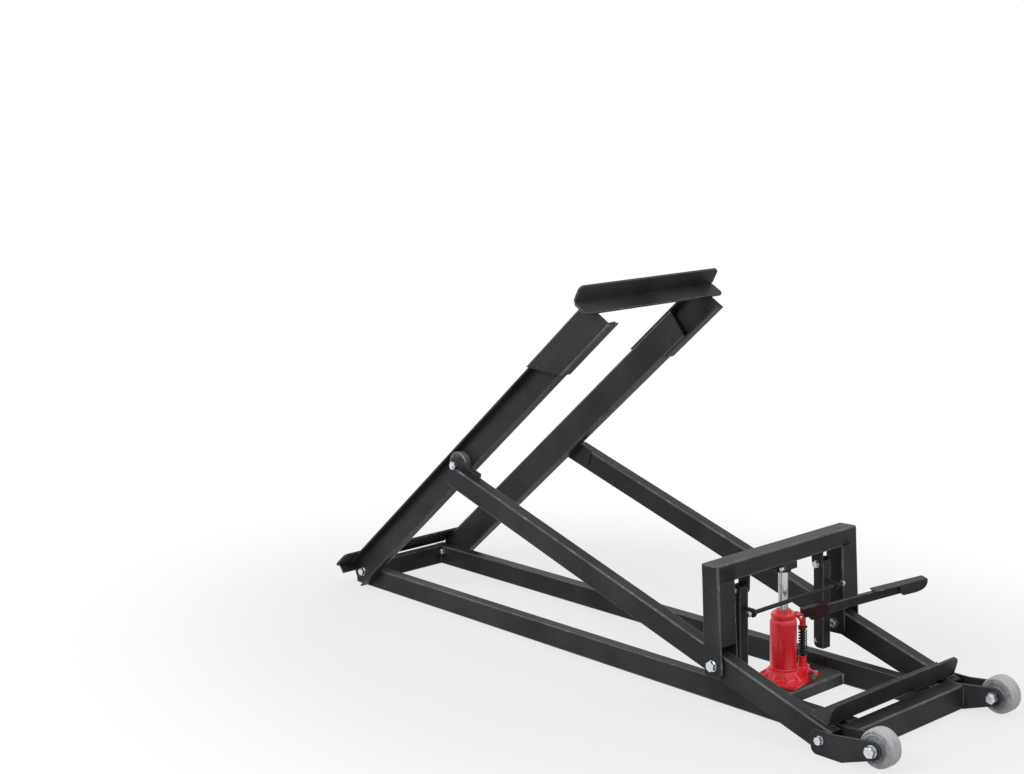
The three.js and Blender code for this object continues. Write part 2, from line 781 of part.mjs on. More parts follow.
function jackBase() {
  const cut45 = jackBaseCornerCut;
  const baseTurn = jackBaseTurnDegrees * radians;
  const slab = polygon([
    [-jackBaseBack + cut45, -jackBaseNear], [jackBaseFront - cut45, -jackBaseNear],
    [jackBaseFront, -jackBaseNear + cut45], [jackBaseFront, jackBaseFar - cut45],
    [jackBaseFront - cut45, jackBaseFar], [-jackBaseBack + cut45, jackBaseFar],
    [-jackBaseBack, jackBaseFar - cut45], [-jackBaseBack, -jackBaseNear + cut45],
  ].map(([x, y]) => [x * Math.cos(baseTurn) - y * Math.sin(baseTurn), x * Math.sin(baseTurn) + y * Math.cos(baseTurn)]));
  const boss = turnedZ([[0, 0], [jackBossRadius + rimChamfer, 0], [jackBossRadius + rimChamfer, jackBaseThickness],
    [jackBossRadius - rimChamfer, jackBossHeight], [0, jackBossHeight]], 0, 0);
  const pumpBoss = turnedZ([[0, 0], [pumpBossRadius + rimChamfer, 0], [pumpBossRadius + rimChamfer, jackBaseThickness],
    [pumpBossRadius, pumpBossHeight], [0, pumpBossHeight]], 0, pumpOffset);
  const web = block(-pumpBossRadius + rimChamfer, pumpBossRadius - rimChamfer, 0, pumpOffset, 0, jackBossHeight - rimChamfer);
  const valveBoss = roundX(valveDiameter / 2 + rimChamfer, 0, valveStart - seatGap, valveAlongBase, valveHeight);
  const fillerPlug = roundX(plugDiameter / 2, -jackBossRadius - plugLength, 0, 0, plugHeight, hexagonSides);
  const solid = join(prismZ(slab, 0, jackBaseThickness), boss, pumpBoss, web, valveBoss, fillerPlug);
  const bodySeat = roundZ(jackBodyRadius + seatGap, jackBossHeight - rimChamfer, jackBossHeight + cutOverrun, 0, 0);
  const barrelSeat = roundZ(pumpBarrelRadius + seatGap, pumpBossHeight - rimChamfer, pumpBossHeight + cutOverrun, 0, pumpOffset);
  return cut(solid, bodySeat, barrelSeat);
}

function jackCylinder() {
  const bottom = jackBossHeight - rimChamfer + seatGap;
  const bore = ramDiameter / 2 + ramClearance;
  return turnedZ([[0, bottom], [jackBodyRadius, bottom], [jackBodyRadius, jackBodyTop - rimChamfer],
    [jackBodyRadius - rimChamfer, jackBodyTop], [bore, jackBodyTop], [bore, bottom + jackFloorThickness],
    [0, bottom + jackFloorThickness]], 0, 0);
}

// Cap of the jack: a collar with a neck round the ram, and two cheeks that hold the fulcrum pin
function jackCollar() {
  const bottom = jackBodyTop + seatGap;
  const bore = ramDiameter / 2 + ramClearance;
  const shoulder = jackCollarTop - jackCollarNeckHeight;
  const ring = turnedZ([[bore, bottom], [jackCollarRadius, bottom], [jackCollarRadius, shoulder - rimChamfer],
    [jackCollarRadius - rimChamfer, shoulder], [jackCollarNeckRadius, shoulder], [jackCollarNeckRadius, jackCollarTop],
    [bore, jackCollarTop], [bore, bottom]], 0, 0);
  const cheekStart = tongueThickness / 2 + seatGap;
  const cheekShape = new THREE.Shape();
  cheekShape.moveTo(jackCollarRadius / 2, fulcrumHeight + rimChamfer);
  cheekShape.absarc(fulcrumOffset, fulcrumHeight, cheekRadius, -Math.PI / 2, Math.PI / 2);
  cheekShape.lineTo(jackCollarRadius / 2, shoulder - rimChamfer);
  cheekShape.closePath();
  const cheeks = [-cheekStart - cheekThickness, cheekStart].map((x) => {
    const pin = roundX(fulcrumPinDiameter / 2 + boltClearance, x - cutOverrun, x + cheekThickness + cutOverrun,
      fulcrumOffset, fulcrumHeight, smallRoundSteps);
    return cut(prismX(cheekShape, x, x + cheekThickness), pin);
  });
  const clearOfBody = roundZ(jackBodyRadius + seatGap, 0, jackBodyTop + seatGap, 0, 0);
  const clearOfRam = roundZ(bore, 0, jackCollarTop, 0, 0);
  return cut(join(ring, ...cheeks), clearOfBody, clearOfRam);
}

// Head of the ram stays a named gap under the roof of the cup
const portalPivotHeight = armPivotHeight + portalAlongArm * Math.sin(armRestDegrees * radians)
  - armPivotAboveCentre * Math.cos(armRestDegrees * radians);
const cupRoofHeight = portalPivotHeight + padBottom * Math.cos(portalLeanDegrees * radians);
const ramTop = cupRoofHeight - ramTopClearance - seatHeight - seatGap;

function jackRam() {
  const radius = ramDiameter / 2;
  const bottom = jackCollarTop - ramInsideLength;
  return turnedZ([[0, bottom], [radius, bottom], [radius, ramTop - ramHeadChamfer],
    [radius - ramHeadChamfer, ramTop], [0, ramTop]], 0, 0);
}

function pumpBarrel() {
  const bottom = pumpBossHeight - rimChamfer + seatGap;
  const bore = plungerDiameter / 2 + ramClearance;
  return turnedZ([[0, bottom], [pumpBarrelRadius, bottom], [pumpBarrelRadius, pumpBarrelTop], [bore, pumpBarrelTop],
    [bore, pumpBarrelTop - pumpBoreDepth], [0, pumpBarrelTop - pumpBoreDepth]], 0, pumpOffset, smallRoundSteps);
}

// The underside of the tongue slopes up with the lever, so the plunger's head stays below
// the lower edge of the part over it.
const tongueUnderside = fulcrumHeight
  + (pumpOffset - fulcrumOffset - plungerHeadDiameter / 2) * Math.tan(leverPitchDegrees * radians)
  - tongueRadius / Math.cos(leverPitchDegrees * radians);
const plungerTop = tongueUnderside - plungerHeadGap;
const plungerCollarTop = plungerTop - plungerHeadHeight;
const plungerCollarBottom = plungerCollarTop - plungerCollarHeight;

function pumpPlunger() {
  const radius = plungerDiameter / 2;
  const bottom = pumpBarrelTop - pumpBoreDepth / 2;
  const collar = plungerCollarDiameter / 2;
  return turnedZ([[0, bottom], [radius, bottom], [radius, plungerCollarBottom], [collar, plungerCollarBottom],
    [collar, plungerCollarTop], [plungerHeadDiameter / 2, plungerCollarTop], [plungerHeadDiameter / 2, plungerTop],
    [0, plungerTop]],
  0, pumpOffset, smallRoundSteps);
}

// Return spring of the pump: one unbroken wire wound on the plunger
const springBottom = pumpBarrelTop + springEndGap + springWireDiameter / 2;
const springTop = plungerCollarBottom - springEndGap - springWireDiameter / 2;
// Middle line of the spring's wire
function springLine() {
  const rings = springTurns * springStepsPerTurn;
  const points = [];
  for (let ring = 0; ring <= rings; ring += 1) {
    const share = ring / rings;
    const angle = 2 * Math.PI * springTurns * share;
    points.push(new THREE.Vector3(springMeanRadius * Math.cos(angle), springMeanRadius * Math.sin(angle),
      springBottom + (springTop - springBottom) * share));
  }
  return points;
}

// Least distance between the wire's surfaces on points at least half a turn apart
function leastGap(points, apart, thickness) {
  let least = Infinity;
  points.forEach((point, index) => {
    for (const other of points.slice(index + apart)) {
      least = Math.min(least, point.distanceTo(other) - thickness);
    }
  });
  return least;
}

const springGap = leastGap(springLine(), springStepsPerTurn / 2, springWireDiameter);
console.log(`pump spring: least gap between turns ${springGap.toFixed(2)} mm`);

function pumpSpring() {
  const rings = springTurns * springStepsPerTurn;
  const positions = [];
  const indices = [];
  const wireRadius = springWireDiameter / 2;
  for (let ring = 0; ring <= rings; ring += 1) {
    const share = ring / rings;
    const turn = 2 * Math.PI * springTurns * share;
    const height = springBottom + (springTop - springBottom) * share;
    for (let corner = 0; corner < springSides; corner += 1) {
      const angle = 2 * Math.PI * corner / springSides;
      const reach = springMeanRadius + wireRadius * Math.cos(angle);
      positions.push(reach * Math.cos(turn), pumpOffset + reach * Math.sin(turn), height + wireRadius * Math.sin(angle));
    }
  }
  for (let ring = 0; ring < rings; ring += 1) {
    for (let corner = 0; corner < springSides; corner += 1) {
      const a = ring * springSides + corner;
      const b = ring * springSides + (corner + 1) % springSides;
      indices.push(a, a + springSides, b, b, a + springSides, b + springSides);
    }
  }
  const last = rings * springSides;
  for (let corner = 1; corner < springSides - 1; corner += 1) {
    indices.push(0, corner, corner + 1);
    indices.push(last, last + corner + 1, last + corner);
  }
  const geometry = new THREE.BufferGeometry();
  geometry.setAttribute("position", new THREE.Float32BufferAttribute(positions, 3));
  geometry.setIndex(indices);
  return toSolid(geometry);
}

function fulcrumPin() {
  const half = tongueThickness / 2 + seatGap + cheekThickness + washerThickness;
  return roundX(fulcrumPinDiameter / 2, -half, half, fulcrumOffset, fulcrumHeight, smallRoundSteps);
}

function releaseValve() {
  const knob = roundX(valveDiameter / 2, valveStart, valveEnd, valveAlongBase, valveHeight, smallRoundSteps);
  const slot = block(valveEnd - valveSlotDepth, valveEnd + cutOverrun, valveAlongBase - valveDiameter, valveAlongBase + valveDiameter,
    valveHeight - valveSlotWidth / 2, valveHeight + valveSlotWidth / 2);
  return cut(knob, slot);
}

place(jack, "jack_base", jackBase(), redEnamel);
place(jack, "jack_cylinder", jackCylinder(), redEnamel);
place(jack, "jack_collar", jackCollar(), redEnamel);
place(jack, "jack_ram", jackRam(), chrome);
place(jack, "pump_barrel", pumpBarrel(), redEnamel);
place(jack, "pump_plunger", pumpPlunger(), springSteel);
place(jack, "pump_spring", pumpSpring(), springSteel);
place(jack, "fulcrum_pin", fulcrumPin(), zinc);
place(jack, "release_valve", releaseValve(), zinc);

// Foot lever. Its own frame has the fulcrum as origin and +Y along the lever.
const lever = new THREE.Group();
lever.position.set(0, fulcrumOffset, fulcrumHeight);
lever.rotation.x = leverPitchDegrees * radians;
jack.add(lever);

const sleeveHalfHeight = leverBarHeight / 2 + seatGap + socketSleeveWall;
const sleeveHalfWidth = leverBarThickness / 2 + seatGap + socketSleeveWall;
const sleeveEnd = socketSleeveStart + socketSleeveWall + leverInSocket;
const leverStart = socketSleeveStart + socketSleeveWall + seatGap;

function pumpSocket() {
  const tongueShape = new THREE.Shape();
  tongueShape.moveTo(socketSleeveStart + socketSleeveWall, -tongueRadius);
  tongueShape.lineTo(socketSleeveStart + socketSleeveWall, tongueRadius);
  tongueShape.absarc(0, 0, tongueRadius, Math.PI / 2, 3 * Math.PI / 2);
  tongueShape.closePath();
  const tongue = prismX(tongueShape, -tongueThickness / 2, tongueThickness / 2);
  const sleeve = block(-sleeveHalfWidth, sleeveHalfWidth, socketSleeveStart, sleeveEnd, -sleeveHalfHeight, sleeveHalfHeight);
  const hollow = block(-leverBarThickness / 2 - seatGap, leverBarThickness / 2 + seatGap,
    socketSleeveStart + socketSleeveWall, sleeveEnd + cutOverrun, -leverBarHeight / 2 - seatGap, leverBarHeight / 2 + seatGap);
  const pinHole = roundX(fulcrumPinDiameter / 2 + boltClearance, -tongueThickness, tongueThickness, 0, 0, smallRoundSteps);
  return cut(join(tongue, sleeve), hollow, pinHole);
}

function pumpLever() {
  return block(-leverBarThickness / 2, leverBarThickness / 2, leverStart, leverReach, -leverBarHeight / 2, leverBarHeight / 2);
}

// Foot pad: a channel over the end of the lever, cut to a slant with a round toe
function footPad() {
  const end = leverReach + padPastLever;
  const start = end - padLength;
  const top = leverBarHeight / 2 + seatGap + padWall;
  const bottom = top - padHeight;
  const section = polygon([
    [-padWidth / 2, bottom], [-padWidth / 2 + padWall, bottom], [-padWidth / 2 + padWall, top - padWall],
    [padWidth / 2 - padWall, top - padWall], [padWidth / 2 - padWall, bottom], [padWidth / 2, bottom],
    [padWidth / 2, top], [-padWidth / 2, top]]);
  const basis = new THREE.Matrix4().makeBasis(
    new THREE.Vector3(-1, 0, 0), new THREE.Vector3(0, 0, 1), new THREE.Vector3(0, 1, 0));
  const channel = new THREE.ExtrudeGeometry(section, { depth: padLength, bevelEnabled: false });
  channel.applyMatrix4(basis);
  channel.translate(0, start, 0);
  const side = new THREE.Shape();
  side.moveTo(start, bottom);
  side.lineTo(end - padEndSlant, bottom);
  side.quadraticCurveTo(end, bottom, end, top);
  side.lineTo(start, top);
  side.closePath();
  return toSolid(channel).intersect(prismX(side, -padWidth, padWidth));
}

place(lever, "pump_socket", pumpSocket(), redEnamel);
place(lever, "pump_lever", pumpLever(), blackPaint);
place(lever, "foot_pad", footPad(), blackPaint);

// Platform. Its own frame has the hinge as origin, +X up along the rails and +Z square to them.
const platform = new THREE.Group();
platform.position.set(hingeX, 0, hingePinHeight);
platform.rotation.y = -platformRestDegrees * radians;
lift.add(platform);

const halfChannel = channelHeight / 2;
const channelWebFace = channelInnerFace + channelThickness;
const channelOuterFace = channelInnerFace + channelDepth;

function platformRail(side) {
  const [y0, y1] = across(side, channelInnerFace, channelOuterFace);
  const facing = channelOutline(channelInnerFace, channelOuterFace, -halfChannel, halfChannel, channelThickness);
  const flipped = polygon(facing.getPoints().map(({ x, y }) => [side * x, y]));
  const web = prismY(new THREE.Shape().absarc(0, 0, halfChannel, 0, 2 * Math.PI), ...across(side, channelInnerFace, channelWebFace));
  return cut(
    join(prismX(flipped, -channelPastPin, channelLength), web),
    boltHoleY(hingeBoltDiameter, y0, y1, 0, 0),
  );
}

// Bottom stop: an angle across the lower ends of the rails. The flange that turns down is
// shorter between the rails, where it clears the floor frame.
function bottomStop() {
  const top = halfChannel + seatGap + stopThickness;
  const back = -channelPastPin - bottomStopPastPin;
  const flat = prismZ(roundedRectangle(back, back + bottomStopTopWidth, -stopHalfLength, stopHalfLength,
    [stopCornerRadius, stopCornerRadius, stopCornerRadius, stopCornerRadius]), top - stopThickness, top);
  const innerLip = channelInnerFace - seatGap;
  const outerLip = channelWebFace + seatGap;
  const lipStart = back + stopThickness + seatGap;
  const lip = (y0, y1, drop) => block(lipStart - stopThickness, lipStart, y0, y1, top - drop, top - stopThickness / 2);
  return join(
    flat,
    lip(-innerLip, innerLip, bottomStopMiddleDrop),
    lip(-stopHalfLength + stopCornerRadius, -outerLip, bottomStopDrop),
    lip(outerLip, stopHalfLength - stopCornerRadius, bottomStopDrop),
  );
}

const extensionInnerHalf = halfChannel + seatGap;
const extensionHalf = extensionInnerHalf + channelThickness;
const extensionWebInner = channelOuterFace + seatGap;
const extensionOuterFace = extensionWebInner + channelThickness;
const extensionMouth = channelInnerFace + channelThickness / 2;

// Upper end of a rail: a channel open inwards that wraps the lower channel from outside,
// with both ends cut to a slant
function extension(side) {
  const facing = channelOutline(-extensionOuterFace, -extensionMouth, -extensionHalf, extensionHalf, channelThickness);
  const flipped = polygon(facing.getPoints().map(({ x, y }) => [-side * x, y]));
  const profile = polygon([[extensionBottomStart, -extensionHalf], [extensionBottomEnd, -extensionHalf],
    [extensionTopEnd, extensionHalf], [extensionTopStart, extensionHalf]]);
  const [y0, y1] = across(side, extensionMouth, extensionOuterFace);
  return prismX(flipped, extensionTopStart, extensionBottomEnd)
    .intersect(prismY(profile, y0 - cutOverrun, y1 + cutOverrun));
}

// Top stop: an angle welded on the slanted ends of the extensions. One flange lies on the cut
// ends and the other stands out from their upper edge.
function topStop() {
  const slant = Math.atan2(extensionBottomEnd - extensionTopEnd, 2 * extensionHalf);
  const holder = new THREE.Matrix4().makeRotationY(-slant);
  holder.setPosition(extensionTopEnd, 0, extensionHalf);
  const corners = [stopCornerRadius, stopCornerRadius, stopCornerRadius, stopCornerRadius];
  const lying = prismX(roundedRectangle(-stopHalfLength, stopHalfLength, -stopSide, 0, corners), seatGap, seatGap + stopThickness);
  const standing = prismZ(roundedRectangle(seatGap, seatGap + stopSide, -stopHalfLength, stopHalfLength, corners), -stopThickness, 0);
  return join(lying, standing).transform(holder.elements);
}

for (const [word, side] of sides) {
  place(platform, `platform_rail_${word}`, platformRail(side), blackPaint);
  place(platform, `extension_${word}`, extension(side), blackPaint);
}
place(platform, "bottom_stop", bottomStop(), blackPaint);
place(platform, "top_stop", topStop(), blackPaint);

// Rollers that run in the platform rails. Their place along the rail follows from where the
// roller bolts of the arms are at rest.
const armRest = armRestDegrees * radians;
const platformRest = platformRestDegrees * radians;
const rollerX = -armPivotBack - rollerAlongArm * Math.cos(armRest) + rollerAboveArmLine * Math.sin(armRest);
const rollerZ = armPivotHeight + rollerAlongArm * Math.sin(armRest) + rollerAboveArmLine * Math.cos(armRest);
const rollerAlongRail = (rollerX - hingeX) * Math.cos(platformRest) + (rollerZ - hingePinHeight) * Math.sin(platformRest);
const rollerInner = channelWebFace + rollerSideClearance;

function rollerBush(side) {
  const [y0, y1] = across(side, rollerInner - seatGap, lugInnerFace - seatGap);
  return roundY(rollerBushDiameter / 2, y0, y1, rollerAlongRail, 0, smallRoundSteps);
}

function roller(side) {
  const bore = rollerBushDiameter / 2 + boltClearance;
  const radius = rollerDiameter / 2;
  const rim = radius - rollerRimThickness;
  const start = rollerInner;
  const end = rollerInner + rollerWidth;
  const profile = [[bore, start], [radius, start], [radius, end], [rim, end], [rim, end - rollerRecess],
    [bore + rollerRecess, end - rollerRecess], [bore + rollerRecess, end], [bore, end], [bore, start]];
  const turned = side > 0 ? profile : profile.map(([r, h]) => [r, -h]).reverse();
  return turnedY(turned, rollerAlongRail, 0);
}

for (const [word, side] of sides) {
  place(platform, `roller_bush_${word}`, rollerBush(side), zinc);
  place(platform, `roller_${word}`, roller(side), greyTread);
}

export default lift;
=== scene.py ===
import logging
import math
import random
from collections.abc import Callable
from dataclasses import dataclass
from enum import Enum, IntEnum
from typing import Any, ClassVar

import bmesh
import bpy
from mathutils import Matrix, Vector, noise


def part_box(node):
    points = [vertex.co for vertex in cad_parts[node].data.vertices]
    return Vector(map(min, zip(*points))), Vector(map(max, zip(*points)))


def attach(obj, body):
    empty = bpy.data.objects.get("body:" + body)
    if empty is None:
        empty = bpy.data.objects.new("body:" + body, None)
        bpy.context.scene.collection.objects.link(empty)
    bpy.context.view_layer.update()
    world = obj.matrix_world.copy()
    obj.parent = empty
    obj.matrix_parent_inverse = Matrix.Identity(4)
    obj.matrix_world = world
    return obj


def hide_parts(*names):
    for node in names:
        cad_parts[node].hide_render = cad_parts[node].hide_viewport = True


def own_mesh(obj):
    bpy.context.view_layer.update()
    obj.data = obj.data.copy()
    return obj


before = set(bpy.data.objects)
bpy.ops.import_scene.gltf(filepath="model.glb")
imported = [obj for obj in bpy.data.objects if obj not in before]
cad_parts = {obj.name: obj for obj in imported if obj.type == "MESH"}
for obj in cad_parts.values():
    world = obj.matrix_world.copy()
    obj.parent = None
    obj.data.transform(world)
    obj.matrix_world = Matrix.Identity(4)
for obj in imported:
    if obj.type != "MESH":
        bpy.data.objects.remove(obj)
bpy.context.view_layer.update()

LOG = logging.getLogger("lift")

MM = 0.001
Point = tuple[float, float]
Colour = tuple[float, float, float]
Triple = tuple[float, float, float]
EdgeRule = Callable[[Vector, Vector], bool]

# Cleaning of copied meshes, in millimetres and radians
MERGE_GAP = 0.004
FLAT_ANGLE = math.radians(1.0)
LEAST_CORNER = math.radians(40.0)
PLANE_SLACK = 0.2
STRAIGHT_SHARE = 0.98

# Facets this narrow count as rounded edges and carry the edge mark
RIM_SPAN = (0.01, 1.1)
ROUNDING_SHARE = 0.45

# Hexagons: chamfer, dish in the top of a head, chamfer of a bore
HEX_STEPS = 36
HEX_FACE = 0.93
HEX_SLOPE = math.tan(math.radians(30.0))
DISH_EDGE = 0.72
DISH_FLOOR = 0.55
DISH_DEPTH = 0.35
BORE_CHAMFER = 0.8

# Weld beads: pace of the points, ripples, and how they wander
BEAD_PACE = 1.1
BEAD_LEAST = 6
BEAD_RIPPLE = 3.4
BEAD_SWELL = (0.80, 0.20)
BEAD_CHANCE = 0.04
BEAD_WANDER = (0.12, 0.3)
BEAD_FADE = (0.35, 2.2)
NOISE_SEED = 1

# Corners of the box tube, and the height of the jack's floor
TUBE_RADIUS = 3.4
JACK_FLOOR = 25.3


class Axis(IntEnum):
    """Number of a coordinate."""

    X = 0
    Y = 1
    Z = 2


class Side(Enum):
    """The two sides of the lift. The value is the sign of Y."""

    NEAR = -1
    FAR = 1

    @property
    def word(self) -> str:
        """The ending that node names use for this side."""
        return self.name.lower()

    @property
    def outwards(self) -> Matrix:
        """A rotation that points the local Z axis away from the middle."""
        return turn(-90.0 * self.value, "X")


class Slot(Enum):
    """Slots of the finishes, by name."""

    BLACK = "black_paint"
    RED = "red_enamel"
    CHROME = "chrome"
    ZINC = "zinc"
    DARK = "dark_steel"
    WHEEL = "wheel_grey"


def shift(x: float, y: float, z: float) -> Matrix:
    """A translation in millimetres."""
    return Matrix.Translation((x, y, z))


def turn(degrees: float, axis: str) -> Matrix:
    """A rotation about a named axis."""
    return Matrix.Rotation(math.radians(degrees), 4, axis)


# Frames of the sub-assemblies at rest, in millimetres
ARM_SLOPE = 17.3
PORTAL_LEAN = 1.7
JACK_YAW = -27.0
LEVER_PITCH = 9.0
PLATFORM_SLOPE = 38.8
STILL = Matrix.Identity(4)
FLOOR_PLACE = STILL
ARM_PLACE = shift(-29.0, 0.0, 31.0) @ turn(ARM_SLOPE, "Y")
PORTAL_PLACE = ARM_PLACE @ shift(-281.0, 0.0, -5.0) @ turn(-ARM_SLOPE - PORTAL_LEAN, "Y")
PROP_PLACE = PORTAL_PLACE @ shift(-2.0, 0.0, 138.4) @ turn(PORTAL_LEAN, "Y")
JACK_PLACE = shift(-303.0, 2.0, JACK_FLOOR) @ turn(JACK_YAW, "Z")
LEVER_PLACE = JACK_PLACE @ shift(0.0, 34.0, 132.0) @ turn(LEVER_PITCH, "X")
PLATFORM_PLACE = shift(-1579.3, 0.0, 37.5) @ turn(-PLATFORM_SLOPE, "Y")
TO_X = turn(90.0, "Y")
ACROSS_X = Matrix(((0, 0, 1, 0), (1, 0, 0, 0), (0, 1, 0, 0), (0, 0, 0, 1)))


@dataclass(frozen=True)
class Wire:
    """A socket of a material in the making. Arithmetic on it adds Math nodes."""

    graph: "Graph"
    socket: bpy.types.NodeSocket

    def math(self, operation: str, first: Any, second: Any) -> "Wire":
        """Add a Math node.

        Args:
            operation: Blender's name of the operation.
            first: Number or wire.
            second: Number or wire.

        Returns:
            The result as a wire.
        """
        return self.graph.node("ShaderNodeMath", {"operation": operation}, {0: first, 1: second})

    def __add__(self, other: Any) -> "Wire":
        """Sum."""
        return self.math("ADD", self, other)

    def __radd__(self, other: Any) -> "Wire":
        """Sum, with the number first."""
        return self.math("ADD", other, self)

    def __sub__(self, other: Any) -> "Wire":
        """Difference."""
        return self.math("SUBTRACT", self, other)

    def __mul__(self, other: Any) -> "Wire":
        """Product."""
        return self.math("MULTIPLY", self, other)


class Graph:
    """Node graph of one material."""

    def __init__(self, owner: bpy.types.Material | bpy.types.World) -> None:
        """Start with an empty graph.

        Args:
            owner: Material or world that the graph belongs to.
        """
        self.material = owner
        owner.use_nodes = True
        self.tree = owner.node_tree
        self.tree.nodes.clear()

    def node(self, kind: str, settings: dict[str, Any] | None = None,
             inputs: dict[Any, Any] | None = None, output: Any = 0) -> Wire:
        """Add a node of any kind.

        Args:
            kind: Blender's type name.
            settings: Properties of the node, set before its sockets are filled.
            inputs: Numbers, tuples or wires by socket name or number.
            output: Name or number of the output wanted.

        Returns:
            That output as a wire.
        """
        made = self.tree.nodes.new(kind)
        for key, value in (settings or {}).items():
            setattr(made, key, value)
        for key, value in (inputs or {}).items():
            if isinstance(value, Wire):
                self.tree.links.new(value.socket, made.inputs[key])
            elif isinstance(value, tuple) and made.inputs[key].type == "RGBA":
                made.inputs[key].default_value = (*value, 1.0)
            else:
                made.inputs[key].default_value = value
        return Wire(self, made.outputs[output] if made.outputs else None)

    def place(self) -> Wire:
        """Object coordinates, in metres."""
        return self.node("ShaderNodeTexCoord", output="Object")

    def stretch(self, vector: Wire, scale: Triple) -> Wire:
        """Scale a vector along each axis."""
        return self.node("ShaderNodeVectorMath", {"operation": "MULTIPLY"}, {0: vector, 1: scale})

    def length(self, vector: Wire) -> Wire:
        """Length of a vector."""
        return self.node("ShaderNodeVectorMath", {"operation": "LENGTH"}, {0: vector}, "Value")

    def grain(self, scale: float, detail: float, vector: Wire, roughness: float = 0.5) -> Wire:
        """Noise between 0 and 1.

        Args:
            scale: Features per metre.
            detail: Number of octaves.
            vector: Coordinates.
            roughness: Share that each octave keeps.

        Returns:
            The noise as a wire.
        """
        inputs = {"Vector": vector, "Scale": scale, "Detail": detail, "Roughness": roughness}
        return self.node("ShaderNodeTexNoise", {"noise_dimensions": "3D"}, inputs, "Fac")

    def step(self, value: Wire, low: float, high: float) -> Wire:
        """Smooth change from 0 at low to 1 at high."""
        settings = {"interpolation_type": "SMOOTHSTEP", "clamp": True}
        inputs = {"Value": value, "From Min": low, "From Max": high}
        return self.node("ShaderNodeMapRange", settings, inputs)

    def blend(self, share: Any, first: Any, second: Any) -> Wire:
        """Mix two colours."""
        inputs = {0: share, 6: first, 7: second}
        return self.node("ShaderNodeMix", {"data_type": "RGBA"}, inputs, 2)

    def rim(self) -> Wire:
        """Mark that rounded edges carry."""
        settings = {"attribute_type": "GEOMETRY", "attribute_name": "rim"}
        return self.node("ShaderNodeAttribute", settings, output="Fac")

    def bump(self, height: Wire, strength: float, distance: float) -> Wire:
        """Turn a height into a normal, with the distance in metres."""
        inputs = {"Height": height, "Strength": strength, "Distance": distance}
        return self.node("ShaderNodeBump", None, inputs, "Normal")

    def finish(self, inputs: dict[str, Any]) -> bpy.types.Material:
        """Close the material with one shader.

        Args:
            inputs: Sockets of the Principled shader.

        Returns:
            The material.
        """
        shader = self.node("ShaderNodeBsdfPrincipled", None, inputs, "BSDF")
        self.node("ShaderNodeOutputMaterial", None, {"Surface": shader})
        return self.material


# Finishes


@dataclass(frozen=True)
class Finish:
    """A surface finish, made into a material once."""

    name: str
    slot: Slot
    made: ClassVar[dict[str, bpy.types.Material]] = {}
    own_axes: ClassVar[bool] = False

    def material(self) -> bpy.types.Material:
        """The material of this finish.

        Returns:
            The material, made at the first call.
        """
        if self.name not in self.made:
            self.made[self.name] = self.paint(Graph(bpy.data.materials.new(self.name)))
        return self.made[self.name]

    def paint(self, graph: Graph) -> bpy.types.Material:
        """Build the material; every finish has its own way."""
        raise NotImplementedError


@dataclass(frozen=True)
class SatinPaint(Finish):
    """Black paint on steel with dust, pale specks, scratches, rubbed edges and a painted highlight along
    rounded edges.
    """

    colour: Colour = (0.0215, 0.0222, 0.0236)
    faded: Colour = (0.036, 0.037, 0.039)
    bare: Colour = (0.33, 0.335, 0.345)
    dust: Colour = (0.12, 0.12, 0.118)
    # Tone of the painted highlight along rounded edges, which also stands for paint worn thin there
    thin: Colour = (0.17, 0.175, 0.18)
    roughness: float = 0.34
    shine: float = 0.10
    scuffs: float = 0.6
    wear: float = 0.5

    def paint(self, graph: Graph) -> bpy.types.Material:
        """Build the material.

        Args:
            graph: Graph to fill.

        Returns:
            The material.
        """
        here = graph.place()
        broad = graph.grain(8.0, 4.0, here)
        fine = graph.grain(260.0, 4.0, here)
        tone = graph.blend(graph.step(broad, 0.3, 0.7), self.colour, self.faded)
        dusty = graph.step(graph.grain(34.0, 6.0, here, 0.65), 0.56, 0.80) * 0.14
        tone = graph.blend(dusty, tone, self.dust)
        patches = graph.step(graph.grain(22.0, 3.0, here), 0.52, 0.66)
        specks = graph.step(graph.grain(560.0, 1.0, here), 0.71, 0.76) * patches * self.scuffs
        streaks = graph.grain(1.0, 3.0, graph.stretch(here, (30.0, 420.0, 900.0)), 0.6)
        scratches = graph.step(streaks, 0.67, 0.72) * patches * (self.scuffs * 0.6)
        tone = graph.blend(specks, tone, self.bare)
        tone = graph.blend(scratches, tone, self.bare)
        patchy = graph.step(graph.grain(16.0, 4.0, here), 0.25, 0.75)
        # Painted highlight: a steady lighter band on rounded edges for the shine of light along them,
        # also standing for thinned paint
        thin_coat_and_highlight = graph.rim() * (patchy * 0.4 + 0.3)
        tone = graph.blend(thin_coat_and_highlight, tone, self.thin)
        flaky = graph.step(graph.grain(60.0, 5.0, here, 0.6), 0.54, 0.74)
        rubbed = graph.rim() * flaky * self.wear
        tone = graph.blend(rubbed, tone, self.bare)
        roughness = self.roughness + broad * 0.14 - thin_coat_and_highlight * 0.12
        height = fine * 0.6 + specks * 0.5 - scratches * 0.4
        return graph.finish({
            "Base Color": tone,
            "Roughness": roughness,
            "Specular IOR Level": self.shine,
            "Normal": graph.bump(height, 0.14, 0.0004),
        })


